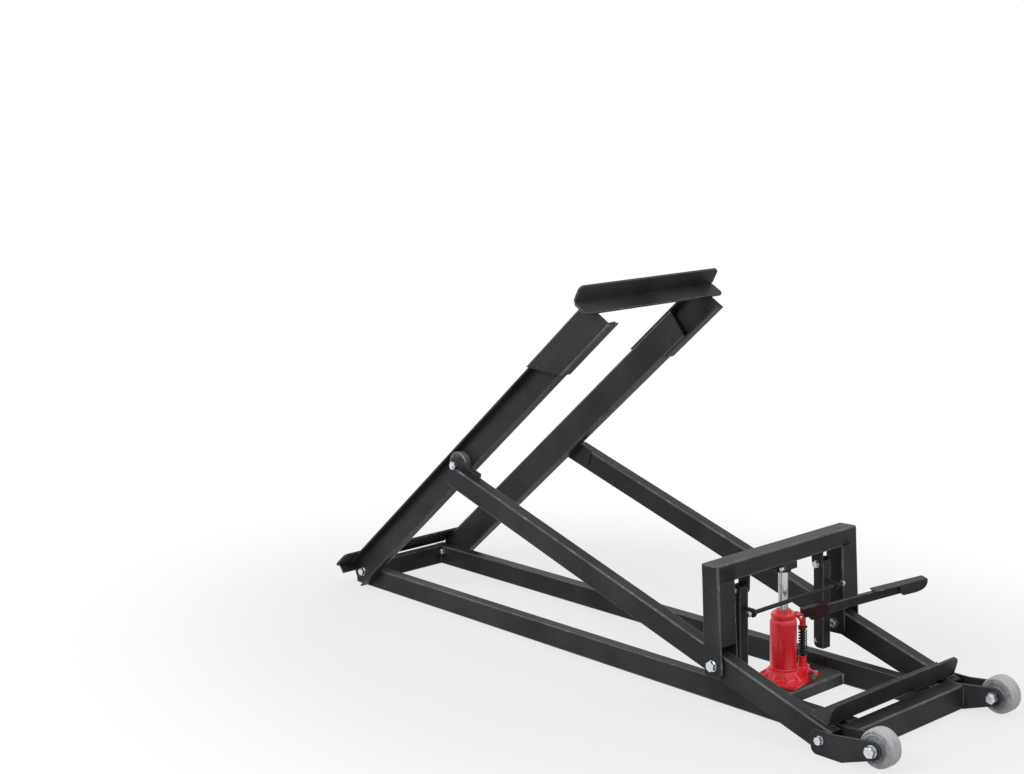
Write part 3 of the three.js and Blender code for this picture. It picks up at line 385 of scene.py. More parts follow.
@dataclass(frozen=True)
class Enamel(Finish):
    """Glossy red enamel, slightly weathered, smooth on turned parts and lumpy on castings."""

    lumps: float = 0.0
    colour: Colour = (0.84, 0.020, 0.034)
    pale: Colour = (0.88, 0.036, 0.054)
    chipped: Colour = (0.20, 0.010, 0.012)
    rubbed: Colour = (0.75, 0.20, 0.20)

    def paint(self, graph: Graph) -> bpy.types.Material:
        """Build the material.

        Args:
            graph: Graph to fill.

        Returns:
            The material.
        """
        here = graph.place()
        broad = graph.step(graph.grain(28.0, 4.0, here), 0.35, 0.7)
        tone = graph.blend(broad, self.colour, self.pale)
        spots = graph.step(graph.grain(70.0, 6.0, here, 0.65), 0.62, 0.82)
        grime = spots * (0.12 + 0.35 * self.lumps)
        tone = graph.blend(grime, tone, self.chipped)
        worn = graph.rim() * graph.step(graph.grain(180.0, 3.0, here), 0.55, 0.68) * 0.35
        tone = graph.blend(worn, tone, self.rubbed)
        lumpy = graph.grain(95.0, 3.0, here)
        fine = graph.grain(420.0, 2.0, here)
        height = lumpy * (0.4 + 2.6 * self.lumps) + fine * 0.3
        return graph.finish({
            "Base Color": tone,
            "Roughness": broad * 0.08 + grime * 0.4 + 0.26,
            "Specular IOR Level": 0.4,
            "Coat Weight": 0.3,
            "Coat Roughness": 0.10,
            "Normal": graph.bump(height, 0.25, 0.0012),
        })


@dataclass(frozen=True)
class PlatedMetal(Finish):
    """Bare or plated metal with mottling and fine marks drawn out along one axis."""

    colour: Colour
    stain: Colour
    roughness: float
    drawn: Triple = (90.0, 90.0, 90.0)
    mottle: float = 0.5
    depth: float = 0.10

    def paint(self, graph: Graph) -> bpy.types.Material:
        """Build the material.

        Args:
            graph: Graph to fill.

        Returns:
            The material.
        """
        here = graph.place()
        spots = graph.step(graph.grain(150.0, 4.0, here, 0.6), 0.42, 0.7) * self.mottle
        lines = graph.grain(1.0, 3.0, graph.stretch(here, self.drawn), 0.4)
        tone = graph.blend(spots, self.colour, self.stain)
        roughness = spots * 0.2 + lines * 0.08 + self.roughness
        return graph.finish({
            "Base Color": tone,
            "Metallic": 1.0,
            "Roughness": roughness,
            "Normal": graph.bump(lines, self.depth, 0.0003),
        })


@dataclass(frozen=True)
class WornWheel(Finish):
    """Grey wheel: dark moulded sides, and a tread that is lighter where it runs on the floor."""

    own_axes: ClassVar[bool] = True
    radius: float
    colour: Colour = (0.15, 0.154, 0.166)
    pale: Colour = (0.26, 0.265, 0.28)
    tread: Colour = (0.34, 0.345, 0.36)
    scraped: Colour = (0.54, 0.545, 0.56)
    dust: Colour = (0.36, 0.355, 0.345)
    rubbed: Colour = (0.42, 0.42, 0.42)

    def paint(self, graph: Graph) -> bpy.types.Material:
        """Build the material.

        Args:
            graph: Graph to fill.

        Returns:
            The material.
        """
        here = graph.place()
        reach = graph.length(graph.stretch(here, (1.0, 1.0, 0.0)))
        outer = graph.step(reach, self.radius * 0.88 * MM, self.radius * 0.975 * MM)
        rounds = graph.grain(1.0, 4.0, graph.stretch(here, (38.0, 38.0, 620.0)), 0.6)
        blotch = graph.grain(70.0, 6.0, here, 0.65)
        side = graph.blend(graph.step(blotch, 0.35, 0.7), self.colour, self.pale)
        band = graph.blend(graph.step(rounds, 0.35, 0.65), self.tread, self.scraped)
        tone = graph.blend(outer, side, band)
        dusty = graph.step(blotch, 0.5, 0.72) * 0.35
        tone = graph.blend(dusty, tone, self.dust)
        worn = graph.rim() * graph.step(graph.grain(120.0, 3.0, here), 0.35, 0.6) * 0.55
        tone = graph.blend(worn, tone, self.rubbed)
        height = rounds * 0.6 + blotch * 0.8
        return graph.finish({
            "Base Color": tone,
            "Roughness": blotch * 0.2 + outer * 0.2 + 0.42,
            "Normal": graph.bump(height, 0.3, 0.0006),
        })


PAINT = SatinPaint("Satin black paint", Slot.BLACK)
PLATE_PAINT = SatinPaint("Satin black paint on plates", Slot.BLACK, wear=0.3, scuffs=0.4)
DUSTY_PAINT = SatinPaint("Dusty black paint", Slot.BLACK, colour=(0.040, 0.040, 0.041),
                         faded=(0.105, 0.103, 0.099), roughness=0.42, scuffs=0.9, wear=0.7)
WORN_PAINT = SatinPaint("Scuffed black paint", Slot.BLACK, faded=(0.046, 0.046, 0.046),
                        scuffs=1.0, wear=0.9)
WELD = SatinPaint("Painted weld", Slot.BLACK, colour=(0.035, 0.035, 0.036),
                  faded=(0.10, 0.098, 0.095), roughness=0.32, scuffs=0.8, wear=0.5)
BARE_WELD = SatinPaint("Bare weld", Slot.BLACK, colour=(0.12, 0.12, 0.12),
                       faded=(0.34, 0.33, 0.31), roughness=0.30, scuffs=0.9, wear=0.6)
# Near-black paint with a red tint; on the pump socket sleeve it is painted shade, red enamel drawn as it
# looks in deep shade
RED_TINGE = SatinPaint("Black paint rubbed with red", Slot.BLACK, colour=(0.017, 0.014, 0.015),
                       faded=(0.040, 0.015, 0.015), scuffs=0.5, wear=0.4)
RED = Enamel("Red enamel", Slot.RED)
RED_CASTING = Enamel("Red enamel on casting", Slot.RED, lumps=1.0)
CHROME = PlatedMetal("Polished chrome", Slot.CHROME, (0.62, 0.62, 0.65), (0.55, 0.55, 0.60), 0.24,
                     (240.0, 240.0, 8.0), 0.10, 0.004)
ZINC = PlatedMetal("Bright zinc", Slot.ZINC, (0.72, 0.74, 0.78), (0.50, 0.52, 0.62), 0.26)
DULL_ZINC = PlatedMetal("Dull zinc", Slot.ZINC, (0.42, 0.43, 0.45), (0.20, 0.20, 0.21), 0.38)
# A darker zinc for the release valve knob
DARK_ZINC = PlatedMetal("Darker zinc", Slot.ZINC, (0.22, 0.20, 0.20), (0.09, 0.075, 0.075), 0.42)
DARK = PlatedMetal("Dark spring steel", Slot.DARK, (0.060, 0.060, 0.066), (0.030, 0.030, 0.033), 0.30)
TREAD = WornWheel("Worn grey wheel", Slot.WHEEL, radius=37.5)
ROLLER_TREAD = WornWheel("Worn grey roller", Slot.WHEEL, radius=31.0, colour=(0.05, 0.05, 0.052),
                         pale=(0.09, 0.09, 0.092), tread=(0.10, 0.10, 0.10), scraped=(0.17, 0.17, 0.165))


# Mesh making


def metres(place: Matrix) -> Matrix:
    """The same place with its translation in metres."""
    moved = place.copy()
    moved.translation = place.translation * MM
    return moved


def along(axis: Axis, least: float = 40.0) -> EdgeRule:
    """A rule for long edges in one direction.

    Args:
        axis: The direction.
        least: Shortest edge taken, in millimetres.

    Returns:
        The rule.
    """
    def rule(start: Vector, end: Vector) -> bool:
        """True for such an edge."""
        step = end - start
        return step.length > least and abs(step[axis]) > STRAIGHT_SHARE * step.length
    return rule


def every(start: Vector, end: Vector) -> bool:
    """A rule that takes each edge."""
    return True


def in_planes(rule: EdgeRule, axis: Axis, *levels: float) -> EdgeRule:
    """Narrow a rule to edges that lie at given distances from the middle.

    Args:
        rule: Rule to narrow.
        axis: The coordinate.
        levels: Distances, in millimetres.

    Returns:
        The narrower rule.
    """
    def narrowed(start: Vector, end: Vector) -> bool:
        """True for an edge in one of the planes."""
        depths = (abs(start[axis]), abs(end[axis]))
        return rule(start, end) and any(
            all(abs(depth - level) < PLANE_SLACK for depth in depths) for level in levels)
    return narrowed


def arc(radius: float, start: int, stop: int) -> list[Point]:
    """Points on a circle, 12 degrees apart.

    Args:
        radius: Its radius.
        start: First angle in degrees.
        stop: Angle that the last one stays below.

    Returns:
        The points.
    """
    angles = [math.radians(degrees) for degrees in range(start, stop, 12)]
    return [(radius * math.cos(angle), radius * math.sin(angle)) for angle in angles]


def bar_profile(radius: float, low: float, high: float, step: Point = (0.7, 0.8)) -> list[Point]:
    """Profile of a round bar with broken ends.

    Args:
        radius: Its radius.
        low: Where it starts.
        high: Where it ends.
        step: How far its ends are broken, inwards and lengthwise.

    Returns:
        The profile.
    """
    inset, lead = step
    return [(0.0, low), (radius - inset, low), (radius, low + lead), (radius, high - lead),
            (radius - inset, high), (0.0, high)]


def soften(points: list[Point], radius: float, steps: int, closed: bool = False) -> list[Point]:
    """Round the corners of an outline.

    Args:
        points: The corners.
        radius: Size of the rounding, held to under half of each side.
        steps: Facets in each corner.
        closed: Whether the last point joins the first.

    Returns:
        The rounded outline.
    """
    result: list[Point] = []
    count = len(points)
    for index, (u, v) in enumerate(points):
        if not closed and index in (0, count - 1):
            result.append((u, v))
            continue
        here = Vector((u, v))
        back = Vector(points[index - 1]) - here
        ahead = Vector(points[(index + 1) % count]) - here
        reach_back = min(radius, ROUNDING_SHARE * back.length)
        reach_ahead = min(radius, ROUNDING_SHARE * ahead.length)
        first = here + back.normalized() * reach_back
        last = here + ahead.normalized() * reach_ahead
        for number in range(steps + 1):
            share = number / steps
            spot = first * (1 - share) ** 2 + here * 2 * share * (1 - share) + last * share ** 2
            result.append((spot.x, spot.y))
    return result


class Shape:
    """A mesh in the making, in millimetres, whose rounded edges carry a mark."""

    def __init__(self, node: str = "", place: Matrix = FLOOR_PLACE) -> None:
        """Start empty, or from a copy of a CAD node.

        Args:
            node: CAD node to copy, or nothing.
            place: Frame that the copy is worked on in.
        """
        self.mesh = bmesh.new()
        if node:
            self.mesh.from_mesh(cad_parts[node].data)
            self.mesh.transform(place.inverted() @ Matrix.Scale(1 / MM, 4))
            bmesh.ops.remove_doubles(self.mesh, verts=self.mesh.verts, dist=MERGE_GAP)
            bmesh.ops.dissolve_limit(self.mesh, angle_limit=FLAT_ANGLE,
                                     verts=self.mesh.verts, edges=self.mesh.edges)
        self.rim = self.mesh.faces.layers.float.new("rim")

    def round_edges(self, rule: EdgeRule, radius: float, steps: int) -> "Shape":
        """Round the outward edges that a rule picks.

        Args:
            rule: Which edges.
            radius: Size of the rounding in millimetres.
            steps: Facets across it.

        Returns:
            This shape.
        """
        self.mesh.normal_update()
        picked = [edge for edge in self.mesh.edges
                  if len(edge.link_faces) == 2 and edge.is_convex
                  and edge.calc_face_angle() > LEAST_CORNER
                  and rule(edge.verts[0].co, edge.verts[1].co)]
        made = bmesh.ops.bevel(self.mesh, geom=picked, offset=radius, offset_type="OFFSET",
                               segments=steps, profile=0.5, affect="EDGES", clamp_overlap=False)
        for face in made["faces"]:
            face[self.rim] = 1.0
        return self

    def band(self, first: list[Any], second: list[Any], mark: float = 0.0) -> None:
        """Join two rings of points, either of which may be a single point.

        Args:
            first: First ring.
            second: Second ring.
            mark: Value of the edge mark on the faces.
        """
        count = max(len(first), len(second))
        if count == 1:
            return
        for index in range(count):
            after = (index + 1) % count
            corners = [first[index % len(first)], first[after % len(first)],
                       second[after % len(second)], second[index % len(second)]]
            unique = list(dict.fromkeys(corners))
            if len(unique) > 2:
                self.mesh.faces.new(unique)[self.rim] = mark

    def turned(self, profile: list[Point], place: Matrix, steps: int, ring: bool = False,
               flutes: int = 0, flute_depth: float = 0.0) -> "Shape":
        """Add a turned piece about the local Z axis.

        Args:
            profile: Radius and height of each point.
            place: Where the piece goes.
            steps: Facets round it.
            ring: Whether the profile closes on itself.
            flutes: Number of grooves along the axis, for a knurl.
            flute_depth: Their depth.

        Returns:
            This shape.
        """
        rings = []
        for radius, height in profile:
            if radius < 1e-6:
                rings.append([self.mesh.verts.new(place @ Vector((0.0, 0.0, height)))])
                continue
            points = []
            for number in range(steps):
                angle = 2 * math.pi * number / steps
                depth = flute_depth * (0.5 - 0.5 * math.cos(flutes * angle)) if flutes else 0.0
                reach = max(radius - depth, 0.1)
                points.append(self.mesh.verts.new(
                    place @ Vector((reach * math.cos(angle), reach * math.sin(angle), height))))
            rings.append(points)
        ends = rings[1:] + rings[:1] if ring else rings[1:]
        spans = profile[1:] + profile[:1] if ring else profile[1:]
        for first, second, start, end in zip(rings, ends, profile, spans):
            length = math.dist(start, end)
            self.band(first, second, float(RIM_SPAN[0] < length < RIM_SPAN[1]))
        return self

    def hexagon(self, across: float, height: float, place: Matrix, bore: float = 0.0) -> "Shape":
        """Add a hexagon head or nut with chamfered corners.

        Args:
            across: Width across flats.
            height: Its height.
            place: Where its lower face is.
            bore: Radius of its hole, or 0 for a head with a shallow dish.

        Returns:
            This shape.
        """
        flat = across / 2
        face = flat * HEX_FACE
        inner = bore if bore else face * DISH_FLOOR
        # Radius, or None for the hexagon's own, height, and how the chamfer bends it
        levels = [(inner, 0.0, 0.0), (face, 0.0, 0.0), (None, 0.0, HEX_SLOPE),
                  (None, height, -HEX_SLOPE), (face, height, 0.0)]
        if bore:
            levels += [(bore + BORE_CHAMFER, height, 0.0), (bore, height - BORE_CHAMFER, 0.0)]
        else:
            levels += [(face * DISH_EDGE, height, 0.0), (inner, height - DISH_DEPTH, 0.0)]
        rings = []
        for radius, level, bend in levels:
            ring = []
            for number in range(HEX_STEPS):
                angle = 2 * math.pi * number / HEX_STEPS
                corner = flat / math.cos((angle % (math.pi / 3)) - math.pi / 6)
                reach = corner if radius is None else radius
                spot = (reach * math.cos(angle), reach * math.sin(angle), level + (corner - face) * bend)
                ring.append(self.mesh.verts.new(place @ Vector(spot)))
            rings.append(ring)
        for first, second in zip(rings, rings[1:]):
            self.band(first, second)
        if bore:
            self.band(rings[-1], rings[0])
        else:
            self.band(rings[-1], [self.mesh.verts.new(place @ Vector((0.0, 0.0, height - DISH_DEPTH)))])
            self.band([self.mesh.verts.new(place @ Vector((0.0, 0.0, 0.0)))], rings[0])
        return self

    def swept(self, path: list[Vector], radii: list[float], sides: int) -> "Shape":
        """Add a round bar along a path.

        Args:
            path: Points of its middle line.
            radii: Radius at each point.
            sides: Facets round it.

        Returns:
            This shape.
        """
        rings = []
        across = None
        for index, spot in enumerate(path):
            ahead = path[min(index + 1, len(path) - 1)] - path[max(index - 1, 0)]
            ahead.normalize()
            if across is None:
                across = ahead.orthogonal().normalized()
            across = (across - ahead * across.dot(ahead)).normalized()
            third = ahead.cross(across)
            ring = []
            for number in range(sides):
                angle = 2 * math.pi * number / sides
                ring.append(self.mesh.verts.new(
                    spot + (across * math.cos(angle) + third * math.sin(angle)) * radii[index]))
            rings.append(ring)
        for first, second in zip(rings, rings[1:]):
            self.band(first, second)
        self.mesh.faces.new(rings[0])
        self.mesh.faces.new(rings[-1])
        return self

    def bead(self, start: Triple, end: Triple, radius: float, seed: int) -> "Shape":
        """Add a weld bead with ripples.

        Args:
            start: First point in millimetres.
            end: Last point.
            radius: Its usual radius.
            seed: Number that its unevenness follows from.

        Returns:
            This shape.
        """
        first = Vector(start)
        last = Vector(end)
        reach = (last - first).length
        count = max(int(reach / BEAD_PACE), BEAD_LEAST)
        pace, wander = BEAD_WANDER
        low, swing = BEAD_SWELL
        tip, taper = BEAD_FADE
        chance = random.Random(seed)
        path = []
        radii = []
        for index in range(count + 1):
            share = index / count
            spot = first.lerp(last, share)
            length = share * reach
            wobble = noise.noise_vector(spot * pace + Vector((seed, 0.0, 0.0))) * radius * wander
            ripple = abs(math.sin(math.pi * length / BEAD_RIPPLE))
            swell = low + swing * ripple + chance.uniform(-BEAD_CHANCE, BEAD_CHANCE)
            fade = min(1.0, tip + min(share, 1 - share) * reach / (taper * radius))
            path.append(spot + wobble)
            radii.append(radius * swell * fade)
        return self.swept(path, radii, 8)

    def run(self, axis: Axis, start: Triple, end: float, radius: float, seed: int) -> "Shape":
        """Add a weld bead along one axis.

        Args:
            axis: The axis.
            start: First point in millimetres.
            end: Where it ends on that axis.
            radius: Its usual radius.
            seed: Number that its unevenness follows from.

        Returns:
            This shape.
        """
        last = list(start)
        last[axis] = end
        return self.bead(start, tuple(last), radius, seed)

    def prism(self, outline: list[Point], low: float, high: float, place: Matrix) -> "Shape":
        """Add a plate whose outline is drawn out along the local Z axis.

        Args:
            outline: Corners, counterclockwise.
            low: Lower height.
            high: Upper height.
            place: Where the plate goes.

        Returns:
            This shape.
        """
        bottom = [self.mesh.verts.new(place @ Vector((u, v, low))) for u, v in outline]
        top = [self.mesh.verts.new(place @ Vector((u, v, high))) for u, v in outline]
        self.band(bottom, top)
        self.mesh.faces.new(bottom[::-1])
        self.mesh.faces.new(top)
        return self

    def block(self, low: Triple, high: Triple, place: Matrix) -> "Shape":
        """Add a box between two corners."""
        outline = [(low[0], low[1]), (high[0], low[1]), (high[0], high[1]), (low[0], high[1])]
        return self.prism(outline, low[2], high[2], place)

    def cut(self, axis: Axis, level: float) -> "Shape":
        """Draw a line of edges round the shape where a plane crosses it."""
        normal = Vector((0.0, 0.0, 0.0))
        normal[axis] = 1.0
        geometry = [*self.mesh.verts, *self.mesh.edges, *self.mesh.faces]
        bmesh.ops.bisect_plane(self.mesh, geom=geometry, plane_co=normal * level, plane_no=normal)
        return self

    def to_mesh(self, name: str) -> bpy.types.Mesh:
        """Close the shape.

        Args:
            name: Name of the mesh.

        Returns:
            A mesh in metres.
        """
        bmesh.ops.recalc_face_normals(self.mesh, faces=self.mesh.faces)
        self.mesh.transform(Matrix.Scale(MM, 4))
        data = bpy.data.meshes.new(name)
        self.mesh.to_mesh(data)
        self.mesh.free()
        return data

    def piece(self, name: str, place: Matrix, finish: Finish, body: str, *nodes: str,
              sharp: float = 32.0) -> bpy.types.Object:
        """Turn the shape into a piece of the object.

        Args:
            name: Name of the piece.
            place: Frame that the shape was worked on in.
            finish: Its finish.
            body: CAD body that it rides on.
            nodes: CAD nodes that it stands for.
            sharp: Least angle of an edge that stays sharp, in degrees.

        Returns:
            The object.
        """
        return dress(self.to_mesh(name), name, place, finish, body, *nodes, sharp=sharp)


def dress(data: bpy.types.Mesh, name: str, place: Matrix, finish: Finish, body: str, *nodes: str,
          sharp: float = 32.0) -> bpy.types.Object:
    """Make a finished piece from a mesh.

    Args:
        data: Mesh in metres.
        name: Name of the piece.
        place: Frame of the mesh.
        finish: Its finish.
        body: CAD body that it rides on.
        nodes: CAD nodes that it stands for.
        sharp: Least angle of an edge that stays sharp, in degrees.

    Returns:
        The object.
    """
    data.materials.clear()
    data.materials.append(finish.material())
    if not finish.own_axes:
        data.transform(metres(place))
    data.shade_smooth()
    data.set_sharp_from_angle(angle=math.radians(sharp))
    made = bpy.data.objects.new(name, data)
    bpy.context.scene.collection.objects.link(made)
    if finish.own_axes:
        made.matrix_world = metres(place)
    even = made.modifiers.new("Even shading", "WEIGHTED_NORMAL")
    even.keep_sharp = True
    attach(made, body)
    if nodes:
        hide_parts(*nodes)
    LOG.info("%s on %s, %d faces", name, body, len(data.polygons))
    return made


def tube(node: str, place: Matrix, body: str, axis: Axis, ending: str = "tube") -> None:
    """Make a box tube from a CAD node, with its long corners rounded.

    Args:
        node: CAD node.
        place: Frame that it lies along.
        body: CAD body that it rides on.
        axis: Its direction in that frame.
        ending: Last word of the piece's name.
    """
    shape = Shape(node, place).round_edges(along(axis), TUBE_RADIUS, 4)
    shape.piece(f"{node}_{ending}", place, PAINT, body, node)


def plate(node: str, place: Matrix, body: str, radius: float = 0.6) -> None:
    """Make a plate from a CAD node, with its edges broken.

    Args:
        node: CAD node.
        place: Frame that it lies in.
        body: CAD body that it rides on.
        radius: Size of its edges' rounding.
    """
    shape = Shape(node, place).round_edges(every, radius, 2)
    shape.piece(f"{node}_steel", place, PLATE_PAINT, body, node)


@dataclass(frozen=True)
class HexBolt:
    """A hexagon bolt along Y with a washer under its head and a nut, sized as in the frame."""

    diameter: float
    across: float
    head_face: float
    nut_face: float
    x: float
    z: float
    head_share: ClassVar[float] = 0.65
    nut_share: ClassVar[float] = 0.85
    washer_share: ClassVar[float] = 1.06
    washer: ClassVar[float] = 2.0
    gap: ClassVar[float] = 0.3
    bore_share: ClassVar[float] = 0.9
    nut_bore_share: ClassVar[float] = 0.93
    tip: ClassVar[float] = 0.9
    half_pitch: ClassVar[float] = 0.7
    root: ClassVar[float] = 0.75
    crest: ClassVar[float] = 0.1

    def add(self, shape: Shape, turned_by: float) -> Shape:
        """Add the bolt to a shape.

        Args:
            shape: Shape to add to.
            turned_by: Angle of its flats, in degrees.

        Returns:
            The shape.
        """
        away = 1.0 if self.head_face > self.nut_face else -1.0
        facing = turn(-90.0 * away, "X") @ turn(turned_by, "Z")
        corner = self.across / math.sqrt(3)
        radius = self.diameter / 2

        def at(level: float) -> Matrix:
            """Place on the axis, facing outwards at the head end."""
            return shift(self.x, level, self.z) @ facing

        washer_start = self.head_face + away * self.gap
        head_start = washer_start + away * self.washer
        head_height = self.diameter * self.head_share
        nut_height = self.diameter * self.nut_share
        washer_radius = corner * self.washer_share
        hole = radius * self.bore_share
        ring = [(hole, 0.0), (washer_radius, 0.0), (washer_radius, self.washer), (hole, self.washer)]
        shape.turned(soften(ring, 0.5, 2, closed=True), at(washer_start), 48, ring=True)
        shape.hexagon(self.across, head_height, at(head_start))
        nut_top = self.nut_face - away * (self.gap + nut_height)
        shape.hexagon(self.across, nut_height, at(nut_top), radius * self.nut_bore_share)
        end = nut_top - away * self.washer
        length = abs(head_start - end)
        crest = radius - self.crest
        thread = [(0.0, 0.0), (radius - self.tip, 0.0), (crest, self.tip)]
        level = self.tip
        while level < self.washer + nut_height:
            level += self.half_pitch
            thread.append((radius - self.root, level))
            level += self.half_pitch
            thread.append((crest, level))
        thread.append((crest, length))
        thread.append((0.0, length))
        shape.turned(thread, at(end), 32)
        return shape


def put_bolts(bolts: dict[str, HexBolt], side: Side, place: Matrix, body: str, turned_by: float) -> None:
    """Make the bolts of one side, one piece each.

    Args:
        bolts: Bolts by the name of their CAD node.
        side: Side of the lift.
        place: Frame that they are placed in.
        body: CAD body that they ride on.
        turned_by: Angle of their flats, in degrees.
    """
    for name, bolt in bolts.items():
        node = f"{name}_{side.word}"
        bolt.add(Shape(), turned_by).piece(f"{node}_zinc", place, ZINC, body, node)


# Sub-assemblies


@dataclass
class FloorFrame:
    """Rails, cross tubes, jack seat and wheel forks."""

    rail_end: float = -20.3
    rail_inner: float = 115.5
    rail_outer: float = 145.5
    seat_front: float = -238.0
    seat_depth: float = 127.0
    seat_bend: float = 4.5
    plate_inner: float = 167.3
    plate_outer: float = 219.0
    hinge_head: float = 151.0
    cross_faces: Point = (-20.6, 20.4)
    hinge_weld: float = 11.8
    axle: Point = (90.0, 43.0)
    pivot: Point = (-29.0, 31.0)
    hinge: Point = (-1579.3, 37.5)

    def build(self) -> None:
        """Make every piece of the floor frame."""
        for side in Side:
            tube(f"base_rail_{side.word}", FLOOR_PLACE, "base", Axis.X)
            for layer in ("inner", "outer"):
                plate(f"fork_plate_{layer}_{side.word}", FLOOR_PLACE, "base", 0.7)
            self.bolts(side)
        for node in ("wheel_cross_tube", "hinge_cross_tube"):
            tube(node, FLOOR_PLACE, "base", Axis.Y, "steel")
        seat = Shape("jack_seat")
        seat.round_edges(self.upper_edge, self.seat_bend, 4)
        seat.round_edges(along(Axis.Y), 0.7, 2)
        seat.piece("jack_seat_steel", FLOOR_PLACE, DUSTY_PAINT, "base", "jack_seat")
        self.welds()

    def upper_edge(self, start: Vector, end: Vector) -> bool:
        """True for the bends along the top of the jack seat."""
        return along(Axis.Y)(start, end) and min(start.z, end.z) > JACK_FLOOR - 1.3

    def bolts(self, side: Side) -> None:
        """Make the bolts of one side.

        Args:
            side: Side of the lift.
        """
        sign = side.value
        outer = self.plate_outer * sign
        inner = self.plate_inner * sign
        hinge_head = self.hinge_head * sign
        hinge_nut = self.rail_inner * sign
        bolts = {
            "axle_bolt": HexBolt(16.0, 19.6, outer, inner, *self.axle),
            "arm_pivot_bolt": HexBolt(12.0, 14.4, outer, inner, *self.pivot),
            "platform_hinge_bolt": HexBolt(12.0, 19.0, hinge_head, hinge_nut, *self.hinge),
        }
        put_bolts(bolts, side, FLOOR_PLACE, "base", 12.0)

    def welds(self) -> None:
        """Lay the beads that hold the frame together."""
        beads = Shape()
        bare = Shape()
        front = self.seat_front
        back = front - self.seat_depth
        rail = self.rail_end
        for side in Side:
            sign = side.value
            face = (self.rail_inner - 0.4) * sign
            inner = (self.plate_inner - 0.2) * sign
            low, high = sorted((self.rail_inner * sign, self.rail_outer * sign))
            bare.run(Axis.Z, (front + 0.8, face, 2.0), 24.0, 3.2, 3 + sign)
            beads.run(Axis.Z, (back - 0.6, face, 3.0), 23.0, 2.4, 7 + sign)
            beads.run(Axis.X, (front - 4.0, face, 25.4), back + 4.0, 2.2, 11 + sign)
            beads.run(Axis.Y, (rail + 0.3, low + 3.0, 49.2), high - 3.0, 1.8, 15 + sign)
            for edge in (low, high):
                beads.run(Axis.Z, (rail + 0.2, edge, 4.0), 46.0, 2.2, 19 + sign)
            for x, seed in zip(self.cross_faces, (23, 27)):
                beads.run(Axis.Z, (x, inner, 4.0), 46.0, 2.4, seed + sign)
            beads.run(Axis.X, (-17.0, inner, 49.6), 17.0, 1.9, 31 + sign)
            beads.run(Axis.Z, (self.hinge[0] - self.hinge_weld, face, 4.0), 46.0, 2.2, 35 + sign)
        beads.piece("floor_frame_welds", FLOOR_PLACE, WELD, "base", sharp=60.0)
        bare.piece("jack_seat_welds", FLOOR_PLACE, BARE_WELD, "base", sharp=60.0)


@dataclass
class Wheels:
    """Two small solid wheels."""

    radius: float = 37.5
    half_width: float = 19.0
    bore: float = 8.4
    aside: float = 193.15
    axle: Point = (90.0, 43.0)

    def build(self) -> None:
        """Make both wheels."""
        half = self.half_width
        radius = self.radius
        side_profile = [
            (self.bore, half), (16.0, half), (16.6, half - 3.4), (24.4, half - 3.6),
            (25.2, half - 1.6), (28.2, half - 1.4), (28.8, half - 2.4), (31.6, half - 2.4),
            (32.4, half - 1.6), (34.4, half - 3.0), (36.6, half - 6.0),
            (radius - 0.15, half - 10.5), (radius, 0.0)]
        other = [(r, -h) for r, h in reversed(side_profile[:-1])]
        profile = soften(side_profile + other, 0.8, 3, closed=True)
        for side in Side:
            node = f"wheel_{side.word}"
            place = shift(self.axle[0], self.aside * side.value, self.axle[1]) @ side.outwards
            wheel = Shape().turned(profile, STILL, 96, ring=True)
            wheel.piece(f"{node}_moulding", place, TREAD, f"{node}_body", node, sharp=38.0)


